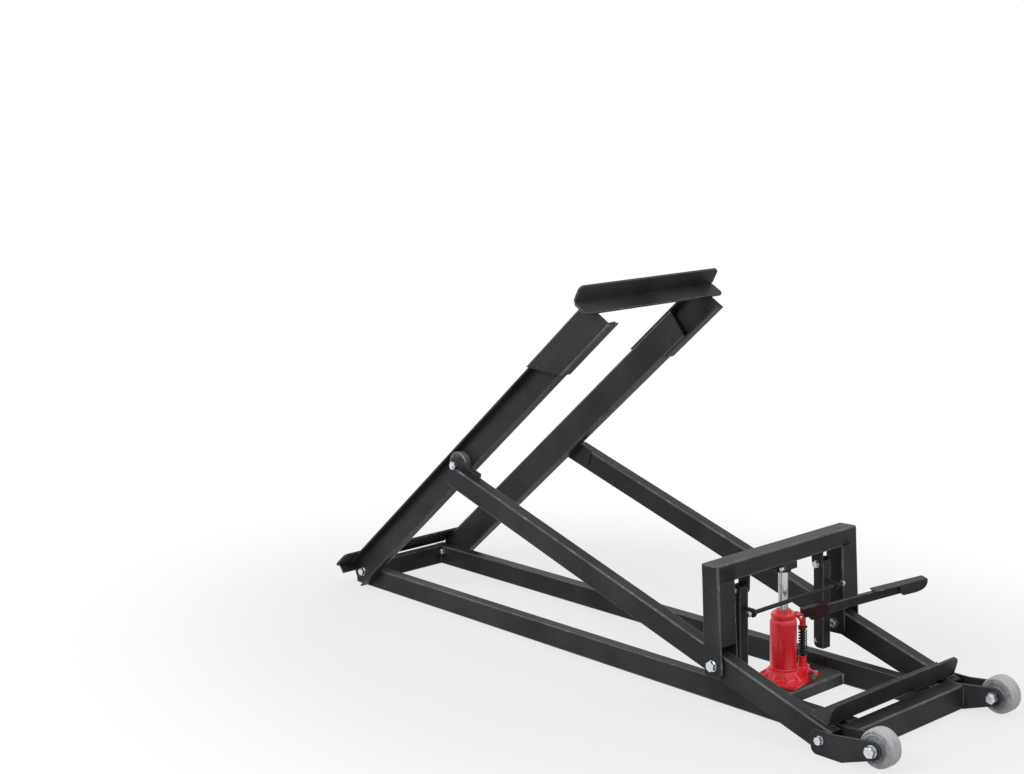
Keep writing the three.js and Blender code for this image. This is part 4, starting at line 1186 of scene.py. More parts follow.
@dataclass
class LiftingArms:
    """Two arms with their lugs, the angle iron across them and the roller bolts."""

    inner: float = 178.0
    weld_outer: float = 200.0
    lug_end: float = -1158.0
    roller: Point = (-1171.6, 6.7)
    bolt_start: float = 173.7
    bolt_radius: float = 5.9
    bolt_length: float = 16.3
    bolt_tip: float = 1.0
    angle_low: float = 20.3
    angle_front: float = -3.0
    angle_width: float = 45.0
    angle_bend: float = 4.0

    def build(self) -> None:
        """Make every piece of the arms."""
        for side in Side:
            tube(f"arm_{side.word}", ARM_PLACE, "arms", Axis.X)
            plate(f"arm_lug_{side.word}", ARM_PLACE, "arms")
            self.roller_bolt(side)
        angle = Shape("cross_angle", ARM_PLACE)
        angle.round_edges(self.heel_edge, self.angle_bend, 4)
        angle.round_edges(every, 0.8, 2)
        angle.piece("cross_angle_steel", ARM_PLACE, WORN_PAINT, "arms", "cross_angle")
        self.welds()

    def heel_edge(self, start: Vector, end: Vector) -> bool:
        """True for the outer corner of the angle iron."""
        low = max(start.z, end.z) < self.angle_low + 0.7
        return along(Axis.Y)(start, end) and low and min(start.x, end.x) > self.angle_front - 1.0

    def roller_bolt(self, side: Side) -> None:
        """Make the bolt that holds a roller, with its nut.

        Args:
            side: Side of the lift.
        """
        sign = side.value
        node = f"roller_bolt_{side.word}"
        facing = side.outwards @ turn(14.0, "Z")
        start = shift(self.roller[0], self.bolt_start * sign, self.roller[1]) @ facing
        nut = shift(self.roller[0], self.inner * sign, self.roller[1]) @ facing
        radius, length, tip = self.bolt_radius, self.bolt_length, self.bolt_tip
        shank = [(0.0, 0.0), (radius, 0.0), (radius, length - tip), (radius - 0.8, length),
                 (0.0, length)]
        shape = Shape().turned(shank, start, 40)
        shape.hexagon(19.0, 10.2, nut, radius - 0.2)
        shape.piece(f"{node}_zinc", ARM_PLACE, ZINC, "arms", node)

    def welds(self) -> None:
        """Lay the beads on the arms."""
        beads = Shape()
        front = self.angle_front
        back = front - self.angle_width
        end = self.lug_end
        for side in Side:
            sign = side.value
            inner = (self.inner + 0.2) * sign
            low, high = sorted(((self.inner + 3.0) * sign, self.weld_outer * sign))
            beads.run(Axis.X, (front - 4.0, inner, 19.8), back + 2.0, 2.0, 41 + sign)
            beads.run(Axis.Y, (back - 0.4, low, 20.6), high, 2.3, 45 + sign)
            beads.run(Axis.Y, (front + 0.6, low, 20.4), high, 2.2, 49 + sign)
            beads.bead((end + 24.0, inner, 18.6), (end + 70.0, inner, 20.0), 1.8, 53 + sign)
            beads.run(Axis.Z, (end, inner, -12.0), 4.0, 2.0, 57 + sign)
        beads.piece("arm_welds", ARM_PLACE, WELD, "arms", sharp=60.0)


@dataclass
class Portal:
    """Two legs under a crossbar, with the ram's cup and the ears of the safety props."""

    radius: float = 4.0
    leg_faces: Point = (168.0, 218.0)
    half_depth: float = 22.5
    bar_low: float = 168.0
    bar_high: float = 206.0
    cup_half: float = 22.0
    cup_aside: float = 2.0
    cup_thickness: float = 14.0
    cup_rim: Point = (14.0, 17.0)
    cup_depth: float = 6.0
    ear: float = 112.7
    prop: float = 143.0
    prop_pivot: Point = (-2.0, 138.4)

    def build(self) -> None:
        """Make every piece of the portal."""
        for side in Side:
            node = f"portal_leg_{side.word}"
            leg = Shape(node, PORTAL_PLACE)
            for vert in leg.mesh.verts:
                if vert.co.z > self.bar_low - 1.0:
                    vert.co.z = self.bar_low + 0.05
            corners = in_planes(along(Axis.Z, 20.0), Axis.Y, *self.leg_faces)
            leg.round_edges(corners, self.radius, 4)
            leg.piece(f"{node}_tube", PORTAL_PLACE, WORN_PAINT, "portal", node)
            plate(f"prop_ear_{side.word}", PORTAL_PLACE, "portal")
            self.bolts(side)
        bar = Shape()
        half, end = self.half_depth, self.leg_faces[1]
        bar.block((-half, -end, self.bar_low), (half, end, self.bar_high), FLOOR_PLACE)
        for level in (-self.leg_faces[0], self.leg_faces[0]):
            bar.cut(Axis.Y, level)
        bar.round_edges(self.outer_edge, self.radius, 4)
        bar.piece("portal_crossbar_tube", PORTAL_PLACE, PAINT, "portal", "portal_crossbar")
        self.cup()
        self.welds()

    def outer_edge(self, start: Vector, end: Vector) -> bool:
        """True for an edge of the crossbar that shows as rounded tube."""
        inner = max(abs(start.y), abs(end.y)) < self.leg_faces[0] + 0.1
        low = max(start.z, end.z) < self.bar_low + 0.1
        return not low or (inner and abs(start.y - end.y) > 20.0)

    def bolts(self, side: Side) -> None:
        """Make the bolts of one side.

        Args:
            side: Side of the lift.
        """
        sign = side.value
        inner, outer = (face * sign for face in self.leg_faces)
        bolts = {
            "portal_bolt": HexBolt(12.0, 19.0, outer, inner, 0.0, 0.0),
            "prop_bolt": HexBolt(8.0, 13.0, self.ear * sign, self.prop * sign, *self.prop_pivot),
        }
        put_bolts(bolts, side, PORTAL_PLACE, "portal", 25.0)

    def cup(self) -> None:
        """Make the cup that the head of the ram stands in."""
        roof = self.bar_low - 0.3
        low = roof - self.cup_thickness
        half = self.cup_half
        pad = Shape()
        pad.block((-half, self.cup_aside - half, low), (half, self.cup_aside + half, roof), FLOOR_PLACE)
        pad.round_edges(along(Axis.Z, 10.0), 4.0, 3)
        pad.round_edges(every, 0.8, 2)
        pad.piece("ram_cup_block", PORTAL_PLACE, PLATE_PAINT, "portal", "ram_socket")
        inner, outer = self.cup_rim
        foot = low - self.cup_depth
        wall = [(inner, low + 0.5), (inner, foot), (outer, foot), (outer, low + 0.5)]
        axis = shift(0.0, self.cup_aside, 0.0)
        rim = Shape().turned(soften(wall, 0.9, 3, closed=True), axis, 72, ring=True)
        rim.piece("ram_cup_rim", PORTAL_PLACE, RED_TINGE, "portal", "ram_socket")
        facing = shift(half - 4.0, self.cup_aside - half - 0.2, low + 5.0) @ Side.NEAR.outwards
        screw = Shape().hexagon(8.0, 5.0, facing)
        screw.piece("ram_cup_screw", PORTAL_PLACE, ZINC, "portal")

    def welds(self) -> None:
        """Lay the beads on the portal."""
        beads = Shape()
        level = self.bar_low
        half = self.half_depth
        for side in Side:
            sign = side.value
            inner, outer = self.leg_faces
            beads.run(Axis.X, (-half + 3.0, inner * sign, level), half - 3.0, 2.3, 61 + sign)
            low, high = sorted(((inner + 4.0) * sign, (outer - 4.0) * sign))
            for face in (-half, half):
                beads.run(Axis.Y, (face, low, level - 0.2), high, 1.1, 65 + sign)
            ear = (self.ear - 0.1) * sign
            beads.run(Axis.X, (-15.0, ear, level - 0.6), 11.0, 2.0, 69 + sign)
        middle = self.cup_aside
        half = self.cup_half
        beads.run(Axis.Y, (-half - 0.4, middle - 19.0, level - 0.6), middle + 19.0, 1.6, 73)
        beads.run(Axis.X, (-19.0, middle - half - 0.3, level - 0.6), 19.0, 1.9, 74)
        beads.piece("portal_welds", PORTAL_PLACE, WELD, "portal", sharp=60.0)


@dataclass
class SafetyProps:
    """Two props that hang under the portal, the rod that joins them and the foot pin."""

    faces: Point = (118.0, 143.0)
    corner: float = 2.6
    length: float = 184.5
    rod: Point = (35.0, -43.0)
    rod_ends: Point = (-148.0, 160.0)
    rod_radius: float = 4.4
    nut_across: float = 10.6
    nut_height: float = 6.6
    pin_height: float = 14.0
    pin_reach: Point = (18.0, 21.6)
    pin_radius: float = 2.9
    pin_bend: float = 5.0

    def build(self) -> None:
        """Make every piece of the props."""
        for side in Side:
            node = f"prop_{side.word}"
            prop = Shape(node, PROP_PLACE)
            prop.round_edges(in_planes(along(Axis.Z, 20.0), Axis.Y, *self.faces), self.corner, 3)
            prop.piece(f"{node}_tube", PROP_PLACE, PAINT, "props", node)
        self.release_rod()
        self.foot_pin()

    def release_rod(self) -> None:
        """Make the rod with its two end nuts."""
        start, end = self.rod_ends
        x, z = self.rod
        radius = self.rod_radius
        profile = bar_profile(radius, 0.0, end - start)
        rod = Shape().turned(profile, shift(x, start, z) @ Side.FAR.outwards, 32)
        rod.piece("release_rod_bar", PROP_PLACE, PAINT, "props", "release_rod")
        nuts = Shape()
        for level in (start + 2.0, end - 9.65):
            facing = shift(x, level, z) @ Side.FAR.outwards
            nuts.hexagon(self.nut_across, self.nut_height, facing, radius - 0.1)
        nuts.piece("release_rod_nuts", PROP_PLACE, DULL_ZINC, "props")

    def foot_pin(self) -> None:
        """Make the pin through the foot of the far prop, with a hooked end."""
        height = -self.length + self.pin_height
        middle = sum(self.faces) / 2
        near, far = middle - self.pin_reach[0], middle + self.pin_reach[1]
        bend, radius = self.pin_bend, self.pin_radius
        path = [Vector((0.0, y, height)) for y in (far, middle + 8.0, near)]
        for number in range(1, 7):
            angle = math.radians(15.0 * number)
            rise = bend * (1 - math.cos(angle))
            path.append(Vector((0.0, near - bend * math.sin(angle), height + rise)))
        path.append(path[-1] + Vector((0.0, 0.0, 5.0)))
        radii = [radius - 0.5] + [radius] * (len(path) - 2) + [radius - 0.6]
        pin = Shape().swept(path, radii, 20)
        pin.piece("foot_pin_hook", PROP_PLACE, ZINC, "props", "foot_pin")


@dataclass
class BottleJack:
    """Bottle jack: cast base, cylinder, cap, ram, foot pump with its return spring, and valve."""

    base: tuple[float, float, float, float] = (-50.0, 57.0, -58.0, 62.0)
    base_turn: float = 37.0
    base_low: float = 0.2
    base_high: float = 7.4
    corner: float = 14.0
    lug_inset: float = 13.0
    rib_half: float = 3.6
    rib_angles: tuple[float, ...] = (-158.0, -128.0, -92.0, -52.0, -12.0, 22.0, 118.0, 150.0)
    plug: Point = (-35.6, 15.0)
    boss: float = 39.0
    body: float = 28.0
    body_top: float = 132.0
    cap_top: float = 151.0
    cap: float = 25.5
    neck: float = 16.5
    bore: float = 10.4
    ram: float = 10.0
    ram_low: float = 107.5
    ram_high: float = 237.0
    pump: float = 43.0
    barrel_top: float = 46.0
    head: float = 6.5
    head_height: float = 16.0
    fulcrum: Point = (34.0, 132.0)
    cheek_round: float = 7.0
    cheek_foot: float = 11.0
    cheek_starts: Point = (-12.3, 8.3)
    cheek_width: float = 4.0
    pin_radius: float = 3.0
    pin_half: float = 14.3
    valve: Point = (47.0, 15.0)
    valve_start: float = 31.0
    press: float = 0.003
    spring_mean: float = 8.2
    spring_wire: float = 1.3
    spring_turns: int = 9
    voxel: float = 1.15

    def build(self) -> None:
        """Make every piece of the jack."""
        self.casting()
        self.cylinder()
        self.cap_with_cheeks()
        self.ram_bar()
        self.pump_parts()
        self.spring()
        self.small_parts()

    def casting(self) -> None:
        """Make the cast base by melting its parts together, so that each corner gets a fillet."""
        left, right, near, far = self.base
        cut = self.corner
        low = self.base_low
        inset = self.lug_inset
        outline = [(left + cut, near), (right - cut, near), (right, near + cut), (right, far - cut),
                   (right - cut, far), (left + cut, far), (left, far - cut), (left, near + cut)]
        turned = turn(self.base_turn, "Z")
        hub = [(0.0, low), (self.boss + 1.5, low), (self.boss, 8.0), (33.0, 23.6), (0.0, 23.6)]
        pump = [(0.0, low), (18.0, low), (17.6, 8.0), (14.6, 25.6), (0.0, 25.6)]
        valve = [(0.0, -10.0), (9.3, -10.0), (9.3, 30.4), (0.0, 30.4)]
        rib = [(18.0, 1.0), (52.0, 1.0), (50.0, 9.5), (31.0, 22.0), (18.0, 22.0)]
        lug = [(0.0, 1.0), (12.0, 1.0), (10.0, 10.5), (0.0, 10.5)]
        raw = Shape()
        raw.prism(soften(outline, 7.0, 4, closed=True), low, self.base_high, turned)
        raw.turned(hub, STILL, 64)
        raw.turned(pump, shift(0.0, self.pump, 0.0), 48)
        raw.block((-11.0, 0.0, low), (11.0, self.pump, 20.5), STILL)
        raw.turned(valve, shift(0.0, *self.valve) @ TO_X, 32)
        for angle in self.rib_angles:
            facing = turn(angle, "Z") @ turn(90.0, "X")
            raw.prism(rib, -self.rib_half, self.rib_half, facing)
        for y in (near + inset, far - inset):
            for x in (left + inset, right - inset):
                raw.turned(lug, turned @ shift(x, y, 0.0), 32)
        mesh = raw.to_mesh("jack_base_raw")
        rough = bpy.data.objects.new("jack_base_raw", mesh)
        bpy.context.scene.collection.objects.link(rough)
        melt = rough.modifiers.new("Melt", "REMESH")
        melt.mode = "VOXEL"
        melt.voxel_size = self.voxel * MM
        relax = rough.modifiers.new("Relax", "SMOOTH")
        relax.factor = 0.6
        relax.iterations = 6
        thin = rough.modifiers.new("Thin", "DECIMATE")
        thin.ratio = 0.35
        graph = bpy.context.evaluated_depsgraph_get()
        cast = bpy.data.meshes.new_from_object(rough.evaluated_get(graph))
        bpy.data.objects.remove(rough)
        dress(cast, "jack_base_casting", JACK_PLACE, RED_CASTING, "base", "jack_base", sharp=70.0)
        plug = Shape()
        plug.hexagon(9.6, 7.0, shift(self.plug[0], 0.0, self.plug[1]) @ turn(-90.0, "Y"))
        plug.piece("jack_filler_plug", JACK_PLACE, DULL_ZINC, "base")

    def cylinder(self) -> None:
        """Make the cylinder with its lower weld and rounded shoulder."""
        body = self.body - 0.1
        top = self.body_top
        bore = self.bore
        outside = [(0.0, 21.4), (body, 21.4), (body, 24.6), (body + 1.2, 25.3), (body + 1.3, 26.8),
                   (body, 27.9), (body, top - 8.4), (body - 0.3, top - 5.6),
                   (body - 1.6, top - 2.6), (body - 4.2, top), (bore, top), (bore, 27.4), (0.0, 27.4)]
        shell = Shape().turned(soften(outside, 1.0, 3), STILL, 112)
        shell.piece("jack_cylinder_shell", JACK_PLACE, RED, "base", "jack_cylinder", sharp=40.0)

    def cap_with_cheeks(self) -> None:
        """Make the cap: a collar with a neck, and two cheeks that hold the fulcrum pin."""
        low = self.body_top + 0.3
        top = self.cap_top
        wide, neck, bore = self.cap, self.neck, self.bore
        ring = [(bore, low), (wide - 1.2, low), (wide - 1.2, low + 1.6), (wide, low + 2.4),
                (wide, low + 9.4), (wide - 2.6, low + 12.3), (neck + 3.4, low + 12.5),
                (neck + 1.6, low + 11.5), (neck, low + 12.9), (neck, top - 1.4),
                (neck - 1.4, top), (bore + 2.4, top), (bore + 1.2, top - 1.6), (bore, top - 2.0)]
        cap = Shape().turned(soften(ring, 0.9, 3, closed=True), STILL, 96, ring=True)
        y, z = self.fulcrum
        foot, reach = self.cheek_foot, self.cheek_round
        cheek = [(foot, z + 2.0), (y - 4.0, z + 2.0), (y - 4.0, z - 6.0)]
        cheek += [(y + u, z + v) for u, v in arc(reach, -90, 91)]
        cheek += [(foot, z + 9.4)]
        cheeks = Shape()
        for start in self.cheek_starts:
            cheeks.prism(cheek, start, start + self.cheek_width, ACROSS_X)
        cheeks.round_edges(every, 0.8, 3)
        cheeks.piece("jack_cheeks", JACK_PLACE, RED, "base")
        cap.piece("jack_cap", JACK_PLACE, RED, "base", "jack_collar", sharp=40.0)

    def ram_bar(self) -> None:
        """Make the ram."""
        radius, low, high = self.ram, self.ram_low, self.ram_high
        profile = [(0.0, low), (radius - 0.6, low), (radius, low + 0.8), (radius, high - 1.0),
                   (radius - 1.0, high), (0.0, high)]
        bar = Shape().turned(profile, STILL, 96)
        bar.piece("jack_ram_bar", JACK_PLACE, CHROME, "ram", "jack_ram", sharp=40.0)

    def pump_parts(self) -> None:
        """Make the pump's barrel and plunger."""
        axis = shift(0.0, self.pump, 0.0)
        top = self.barrel_top
        barrel = [(0.0, 23.4), (9.0, 23.4), (9.0, 30.0), (8.6, 30.8), (8.6, top - 3.6),
                  (9.0, top - 2.8), (9.0, top), (5.4, top), (5.4, top - 16.0), (0.0, top - 16.0)]
        case = Shape().turned(soften(barrel, 0.6, 2), axis, 56)
        case.piece("pump_barrel_tube", JACK_PLACE, RED, "base", "pump_barrel", sharp=40.0)
        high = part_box("pump_plunger")[1].z / MM - JACK_FLOOR
        collar = high - self.head_height
        plunger = [(0.0, 38.0), (5.0, 38.0), (5.0, collar - 4.0), (9.8, collar - 4.0), (9.8, collar),
                   (0.0, collar)]
        rod = Shape().turned(soften(plunger, 0.7, 2), axis, 56)
        rod.piece("pump_plunger_rod", JACK_PLACE, DARK, "plunger", "pump_plunger", sharp=40.0)
        head = [(0.0, collar), (self.head, collar), (self.head, high), (0.0, high)]
        end = Shape().turned(soften(head, 1.4, 3), axis, 56)
        end.piece("pump_plunger_head", JACK_PLACE, RED, "plunger", "pump_plunger", sharp=40.0)

    def spring(self) -> None:
        """Wind the return spring of the pump."""
        lowest, highest = (corner.z / MM - JACK_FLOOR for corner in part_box("pump_spring"))
        lowest += self.spring_wire
        highest -= self.spring_wire
        steps = 28
        ease = 0.012
        mean = self.spring_mean
        count = steps * self.spring_turns
        path = []
        for number in range(count + 1):
            share = number / count
            angle = 2 * math.pi * self.spring_turns * share
            eased = share + ease * math.sin(2 * math.pi * share)
            level = lowest + (highest - lowest) * min(max(eased, 0.0), 1.0)
            path.append(Vector((mean * math.cos(angle), self.pump + mean * math.sin(angle), level)))
        coil = Shape().swept(path, [self.spring_wire] * len(path), 12)
        made = coil.piece("pump_spring_coil", JACK_PLACE, DARK, "base", "pump_spring", sharp=60.0)
        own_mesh(made)

    def small_parts(self) -> None:
        """Make the fulcrum pin and the release valve."""
        y, z = self.fulcrum
        pin = bar_profile(self.pin_radius, -self.pin_half, self.pin_half, (0.6, 0.7))
        rod = Shape().turned(pin, shift(0.0, y, z) @ TO_X, 40)
        rod.piece("fulcrum_pin_rod", JACK_PLACE, ZINC, "base", "fulcrum_pin")
        knob = [(0.0, 0.0), (5.2, 0.0), (5.2, 2.0), (6.4, 3.0), (6.4, 15.6), (5.4, 17.9), (4.0, 17.9),
                (3.8, 16.6), (0.0, 16.6)]
        place = shift(self.valve_start, *self.valve) @ TO_X
        valve = Shape().turned(soften(knob, 0.4, 2), place, 180, flutes=30, flute_depth=0.7)
        valve.block((-3.6, -0.9, 16.0), (3.6, 0.9, 17.7), place)
        valve.piece("release_valve_knob", JACK_PLACE, DARK_ZINC, "valve", "release_valve")


@dataclass
class FootLever:
    """Pump socket, lever bar and foot pad."""

    tongue: float = 5.5
    tongue_half: float = 8.0
    sleeve_start: float = 8.0
    cut_start: float = 20.5
    cut_end: float = 24.5
    mouth_half: float = 7.8
    mouth_low: float = 5.4
    sleeve_end: float = 63.0
    sleeve_half: float = 8.8
    sleeve_tall: float = 13.8
    wall: float = 3.4
    bar_half: float = 5.0
    bar_tall: float = 10.0
    bar_start: float = 29.3
    bar_end: float = 259.5
    pad_start: float = 169.5
    pad_end: float = 290.4
    pad_half: float = 12.9
    pad_top: float = 13.3
    pad_height: float = 23.8
    pad_wall: float = 2.8
    pad_slant: float = 34.0
    pad_droop: float = 1.5
    pad_ridge: float = 2.2
    flange_start: float = 56.0
    flange_slope: float = 3.0
    flange_foot: float = 8.0
    mouth_floor: float = 1.8
    overlap: float = 4.0

    def pad(self) -> None:
        """Make the foot pad: a plate with flanges that run from its middle to a slanted round toe."""
        start, end = self.pad_start, self.pad_end
        half, top, wall = self.pad_half, self.pad_top, self.pad_wall
        bottom = top - self.pad_height
        root = start + self.flange_start
        flange = [(root, top - 1.0), (root + self.flange_slope, bottom + 2.0),
                  (root + self.flange_foot, bottom)]
        for step in range(11):
            share = step / 10.0
            near = end - self.pad_slant * (1.0 - share) ** 2
            flange.append((near, bottom + (top - 0.6 - bottom) * share ** 2))
        droop = shift(0.0, start, top) @ turn(-self.pad_droop, "X") @ shift(0.0, -start, -top)
        shape = Shape()
        corners = [(-half, start), (half, start), (half, end), (-half, end)]
        shape.prism(soften(corners, 3.0, 4, closed=True), top - wall, top, STILL)
        for low in (-half, half - wall):
            shape.prism(soften(flange, 1.6, 2, closed=True)[::-1], low, low + wall, ACROSS_X)
        shape.round_edges(self.ridge, self.pad_ridge, 3)
        shape.round_edges(every, 0.6, 2)
        shape.piece("foot_pad_channel", LEVER_PLACE @ droop, WORN_PAINT, "foot_lever", "foot_pad")

    def ridge(self, start: Vector, end: Vector) -> bool:
        """True for the long upper edges of the pad."""
        high = min(start.z, end.z) > self.pad_top - 0.2
        aside = max(abs(start.x), abs(end.x)) > self.pad_half - 0.2
        return along(Axis.Y)(start, end) and high and aside

    def tongue_piece(self) -> None:
        """Make the red tongue that turns on the fulcrum pin."""
        reach = self.tongue
        half = self.tongue_half - 0.4
        end = self.sleeve_start + self.overlap
        outline = [(end, reach), *arc(reach, 90, 271), (end, -reach)]
        shape = Shape().prism(outline[::-1], -half, half, ACROSS_X)
        shape.round_edges(every, 1.2, 3)
        shape.piece("pump_socket_tongue", LEVER_PLACE, RED, "foot_lever", "pump_socket", sharp=40.0)

    def sleeve(self) -> None:
        """Make the open square sleeve that holds the lever, cut away under its inner end."""
        start, end = self.sleeve_start, self.sleeve_end
        tall, half, mouth = self.sleeve_tall, self.sleeve_half, self.mouth_half
        # Place along the lever, half width, depth and height of each outline
        outside = [(start, mouth, self.mouth_low, tall), (self.cut_start, mouth, self.mouth_low, tall),
                   (self.cut_end, half, tall, tall), (end - 0.6, half, tall, tall),
                   (end, half - 0.4, tall - 0.4, tall)]
        inside = [(level, mouth - self.wall, self.mouth_floor, tall - self.wall)
                  for level in (end, start + self.overlap, start)]
        shape = Shape()
        rings = []
        for rows, radius in ((outside, 2.4), (inside, 1.2)):
            for level, wide, low, high in rows:
                corners = [(-wide, -low), (wide, -low), (wide, high), (-wide, high)]
                outline = soften(corners, radius, 4, closed=True)
                rings.append([shape.mesh.verts.new(Vector((u, level, v))) for u, v in outline])
        for first, second in zip(rings, rings[1:] + rings[:1]):
            shape.band(first, second)
        # Painted shade: the sleeve's red enamel is drawn near-black with a red tint, as it looks in deep
        # shade under the lever
        name = "pump_socket_sleeve"
        shape.piece(name, LEVER_PLACE, RED_TINGE, "foot_lever", "pump_socket", sharp=40.0)

    def build(self) -> None:
        """Make every piece of the lever."""
        self.tongue_piece()
        self.sleeve()
        bar = Shape()
        half, tall = self.bar_half, self.bar_tall
        bar.block((-half, self.bar_start, -tall), (half, self.bar_end, tall), FLOOR_PLACE)
        bar.round_edges(every, 1.6, 3)
        bar.piece("pump_lever_bar", LEVER_PLACE, PAINT, "foot_lever", "pump_lever")
        self.pad()


@dataclass
class Platform:
    """Two channel rails with sliding upper ends, a stop across each end, and the rollers."""

    web: float = 147.0
    half: float = 36.0
    outer: float = 176.3
    outer_half: float = 40.3
    corner: float = 5.0
    roller_start: float = 151.9
    roller_radius: float = 31.0
    roller_width: float = 18.0
    roller_bore: float = 10.4
    bush_radius: float = 9.9
    end_start: float = 1175.0
    end_slant: float = 20.4

    def build(self) -> None:
        """Make every piece of the platform."""
        for side in Side:
            self.channel(f"platform_rail_{side.word}", "platform", self.web, self.half)
            self.channel(f"extension_{side.word}", "platform_end", self.outer, self.outer_half)
            self.roller(side)
        for node, body in (("bottom_stop", "platform"), ("top_stop", "platform_end")):
            Shape(node, PLATFORM_PLACE).round_edges(every, 0.9, 2).piece(
                f"{node}_angle", PLATFORM_PLACE, WORN_PAINT, body, node)
        self.welds()

    def channel(self, node: str, body: str, web: float, half: float) -> None:
        """Make one folded rail.

        Args:
            node: CAD node.
            body: CAD body that it rides on.
            web: How far from the middle its web's outer face is.
            half: Half of its height.
        """
        shape = Shape(node, PLATFORM_PLACE)
        bends = in_planes(in_planes(along(Axis.X), Axis.Y, web), Axis.Z, half)
        shape.round_edges(bends, self.corner, 4)
        shape.round_edges(along(Axis.X), 0.8, 2)
        shape.piece(f"{node}_channel", PLATFORM_PLACE, PAINT, body, node)

    def roller(self, side: Side) -> None:
        """Make the roller of one side and the bush it turns on.

        Args:
            side: Side of the lift.
        """
        sign = side.value
        low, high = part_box(f"roller_{side.word}")
        centre = Vector(((low.x + high.x) / 2, 0.0, (low.z + high.z) / 2)) / MM
        middle = PLATFORM_PLACE.inverted() @ centre
        place = PLATFORM_PLACE @ shift(middle.x, self.roller_start * sign, middle.z) @ side.outwards
        radius, width, bore = self.roller_radius, self.roller_width, self.roller_bore
        profile = [(bore, 0.0), (radius - 1.4, 0.0), (radius, 1.8), (radius, width - 1.8),
                   (radius - 1.4, width), (23.6, width), (22.8, width - 3.4), (14.4, width - 3.6),
                   (13.8, width), (bore, width)]
        roller = Shape().turned(soften(profile, 0.8, 3, closed=True), STILL, 80, ring=True)
        roller.piece(f"roller_{side.word}_moulding", place, ROLLER_TREAD, f"roller_{side.word}_body",
                     f"roller_{side.word}", sharp=38.0)
        inner, outer = sorted(abs(corner.y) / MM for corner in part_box(f"roller_bush_{side.word}"))
        place = PLATFORM_PLACE @ shift(middle.x, inner * sign, middle.z) @ side.outwards
        bush = Shape().turned(bar_profile(self.bush_radius, 0.0, outer - inner), STILL, 56)
        node = f"roller_bush_{side.word}"
        bush.piece(f"{node}_turned", place, ZINC, "roller_carriage", node)

    def end_at(self, level: float) -> float:
        """Where the slanted end of the upper rails is at a level."""
        return self.end_start + (self.outer_half - level) * math.tan(math.radians(self.end_slant))

    def welds(self) -> None:
        """Lay the beads at both stops."""
        lower = Shape()
        upper = Shape()
        for side in Side:
            sign = side.value
            face = (self.web - 0.2) * sign
            lower.run(Axis.X, (-16.0, face, 36.2), 40.0, 1.9, 81 + sign)
            for level in (30.0, -34.0):
                x = self.end_at(level) - 0.4
                upper.run(Axis.Y, (x, 152.0 * sign, level), 172.0 * sign, 1.8, 85 + sign)
            face = (self.outer + 0.2) * sign
            first = (self.end_at(34.0), face, 34.0)
            last = (self.end_at(-2.0), face, -2.0)
            upper.bead(first, last, 1.9, 89 + sign)
        lower.piece("bottom_stop_welds", PLATFORM_PLACE, WELD, "platform", sharp=60.0)
        upper.piece("top_stop_welds", PLATFORM_PLACE, WELD, "platform_end", sharp=60.0)


@dataclass(frozen=True)
class Lamp:
    """A square soft lamp."""

    name: str
    spot: Triple
    aim: Triple
    size: float
    power: float

    def hang(self) -> None:
        """Put the lamp in the scene."""
        data = bpy.data.lights.new(self.name, "AREA")
        data.shape = "SQUARE"
        data.size = self.size
        data.energy = self.power
        lamp = bpy.data.objects.new(self.name, data)
        lamp.location = self.spot
        facing = Vector(self.aim) - Vector(self.spot)
        lamp.rotation_euler = facing.to_track_quat("-Z", "Y").to_euler()
        bpy.context.scene.collection.objects.link(lamp)


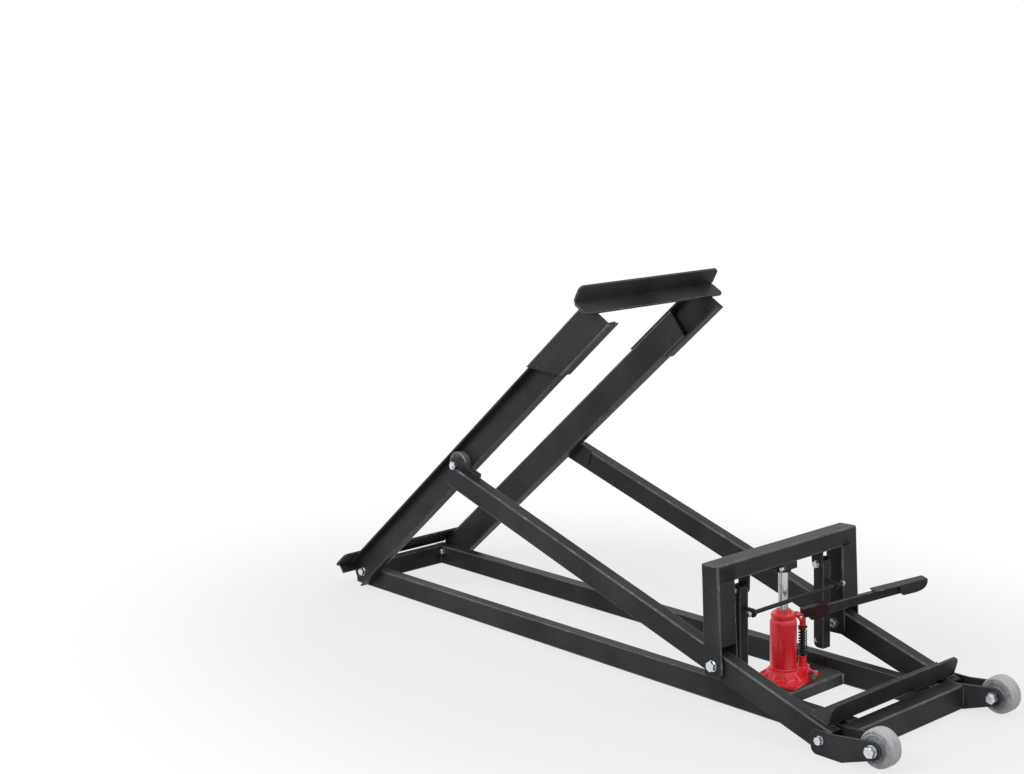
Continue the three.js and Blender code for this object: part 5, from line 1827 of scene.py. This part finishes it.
@dataclass
class Studio:
    """Camera, lights, floor and background."""

    spot: Triple = (1.8505, -2.5526, 1.2257)
    above: Triple = (-0.10795, 0.13455, 0.98501)
    forward: Triple = (-0.74947, 0.63996, -0.16956)
    lens: float = 58.41
    sensor: float = 36.0
    farthest: float = 60.0
    floor_half: float = 9000.0
    floor_low: float = -4.0
    floor_high: float = -0.6
    floor_glow: float = 0.72
    floor_tones: tuple[Colour, Colour] = ((0.50, 0.50, 0.50), (0.53, 0.53, 0.53))
    shadow_reach: Point = (0.75, 1.7)
    middle: Triple = (-0.75, 0.0, 0.0)
    room_light: float = 0.65
    lamps: tuple[Lamp, ...] = (
        Lamp("Key lamp", (-0.6, -3.1, 2.5), (-0.6, 0.0, 0.3), 1.6, 64.0),
        Lamp("Fill lamp", (1.6, 0.9, 3.0), (-0.4, 0.0, 0.2), 1.2, 20.0),
    )

    def build(self) -> None:
        """Make the camera first, then everything that lights the object."""
        self.camera()
        self.floor()
        for lamp in self.lamps:
            lamp.hang()
        self.world()

    def camera(self) -> None:
        """Put the camera where the photograph was taken from."""
        behind = -Vector(self.forward).normalized()
        above = (Vector(self.above) - behind * behind.dot(Vector(self.above))).normalized()
        right = above.cross(behind)
        data = bpy.data.cameras.new("Camera")
        data.lens = self.lens
        data.sensor_width = self.sensor
        data.sensor_fit = "HORIZONTAL"
        data.clip_end = self.farthest
        eye = bpy.data.objects.new("Camera", data)
        facing = Matrix((right, above, behind)).transposed().to_4x4()
        eye.matrix_world = Matrix.Translation(self.spot) @ facing
        bpy.context.scene.collection.objects.link(eye)
        bpy.context.scene.camera = eye

    def seen(self, graph: Graph) -> Wire:
        """1 for what the camera sees directly, in a mirror or through glass."""
        paths = [graph.node("ShaderNodeLightPath", output=name)
                 for name in ("Is Camera Ray", "Is Glossy Ray", "Is Transmission Ray")]
        return graph.node("ShaderNodeMath", {"operation": "ADD", "use_clamp": True},
                          {0: paths[0] + paths[1], 1: paths[2]})

    def floor(self) -> None:
        """Lay a pale floor that shows as white and keeps the shadow."""
        half = self.floor_half
        shape = Shape().block((-half, -half, self.floor_low), (half, half, self.floor_high), STILL)
        data = shape.to_mesh("studio_floor")
        graph = Graph(bpy.data.materials.new("Pale floor"))
        colour = graph.blend(graph.grain(3.0, 2.0, graph.place()), *self.floor_tones)
        flat = graph.stretch(graph.place(), (1.0, 1.4, 0.0))
        offset = graph.node("ShaderNodeVectorMath", {"operation": "SUBTRACT"}, {0: flat, 1: self.middle})
        away = graph.step(graph.length(offset), *self.shadow_reach)
        clear = away * (1.0 - self.floor_glow) + self.floor_glow
        matt = graph.node("ShaderNodeBsdfDiffuse", None, {"Color": colour}, "BSDF")
        white = {"Color": (1.0, 1.0, 1.0), "Strength": 1.0}
        glow = graph.node("ShaderNodeEmission", None, white, "Emission")
        shares = {0: self.seen(graph) * clear, 1: matt, 2: glow}
        mixed = graph.node("ShaderNodeMixShader", None, shares)
        graph.node("ShaderNodeOutputMaterial", None, {"Surface": mixed})
        data.materials.append(graph.material)
        floor = bpy.data.objects.new("studio_floor", data)
        bpy.context.scene.collection.objects.link(floor)

    def world(self) -> None:
        """Light the object evenly from a white room."""
        world = bpy.data.worlds.new("White room")
        bpy.context.scene.world = world
        graph = Graph(world)
        strength = self.seen(graph) * (1.0 - self.room_light) + self.room_light
        sky = graph.node("ShaderNodeBackground", None, {"Color": (1.0, 1.0, 1.0), "Strength": strength})
        graph.node("ShaderNodeOutputWorld", None, {"Surface": sky})


def main() -> None:
    """Build the scene, one sub-assembly after another."""
    logging.basicConfig(level=logging.INFO, format="%(message)s")
    bpy.context.scene.view_settings.view_transform = "Standard"
    noise.seed_set(NOISE_SEED)
    for part in (Studio(), FloorFrame(), Wheels(), LiftingArms(), Portal(), SafetyProps(), BottleJack(),
                 FootLever(), Platform()):
        LOG.info("building %s", type(part).__name__)
        part.build()


if __name__ == "__main__":
    main()
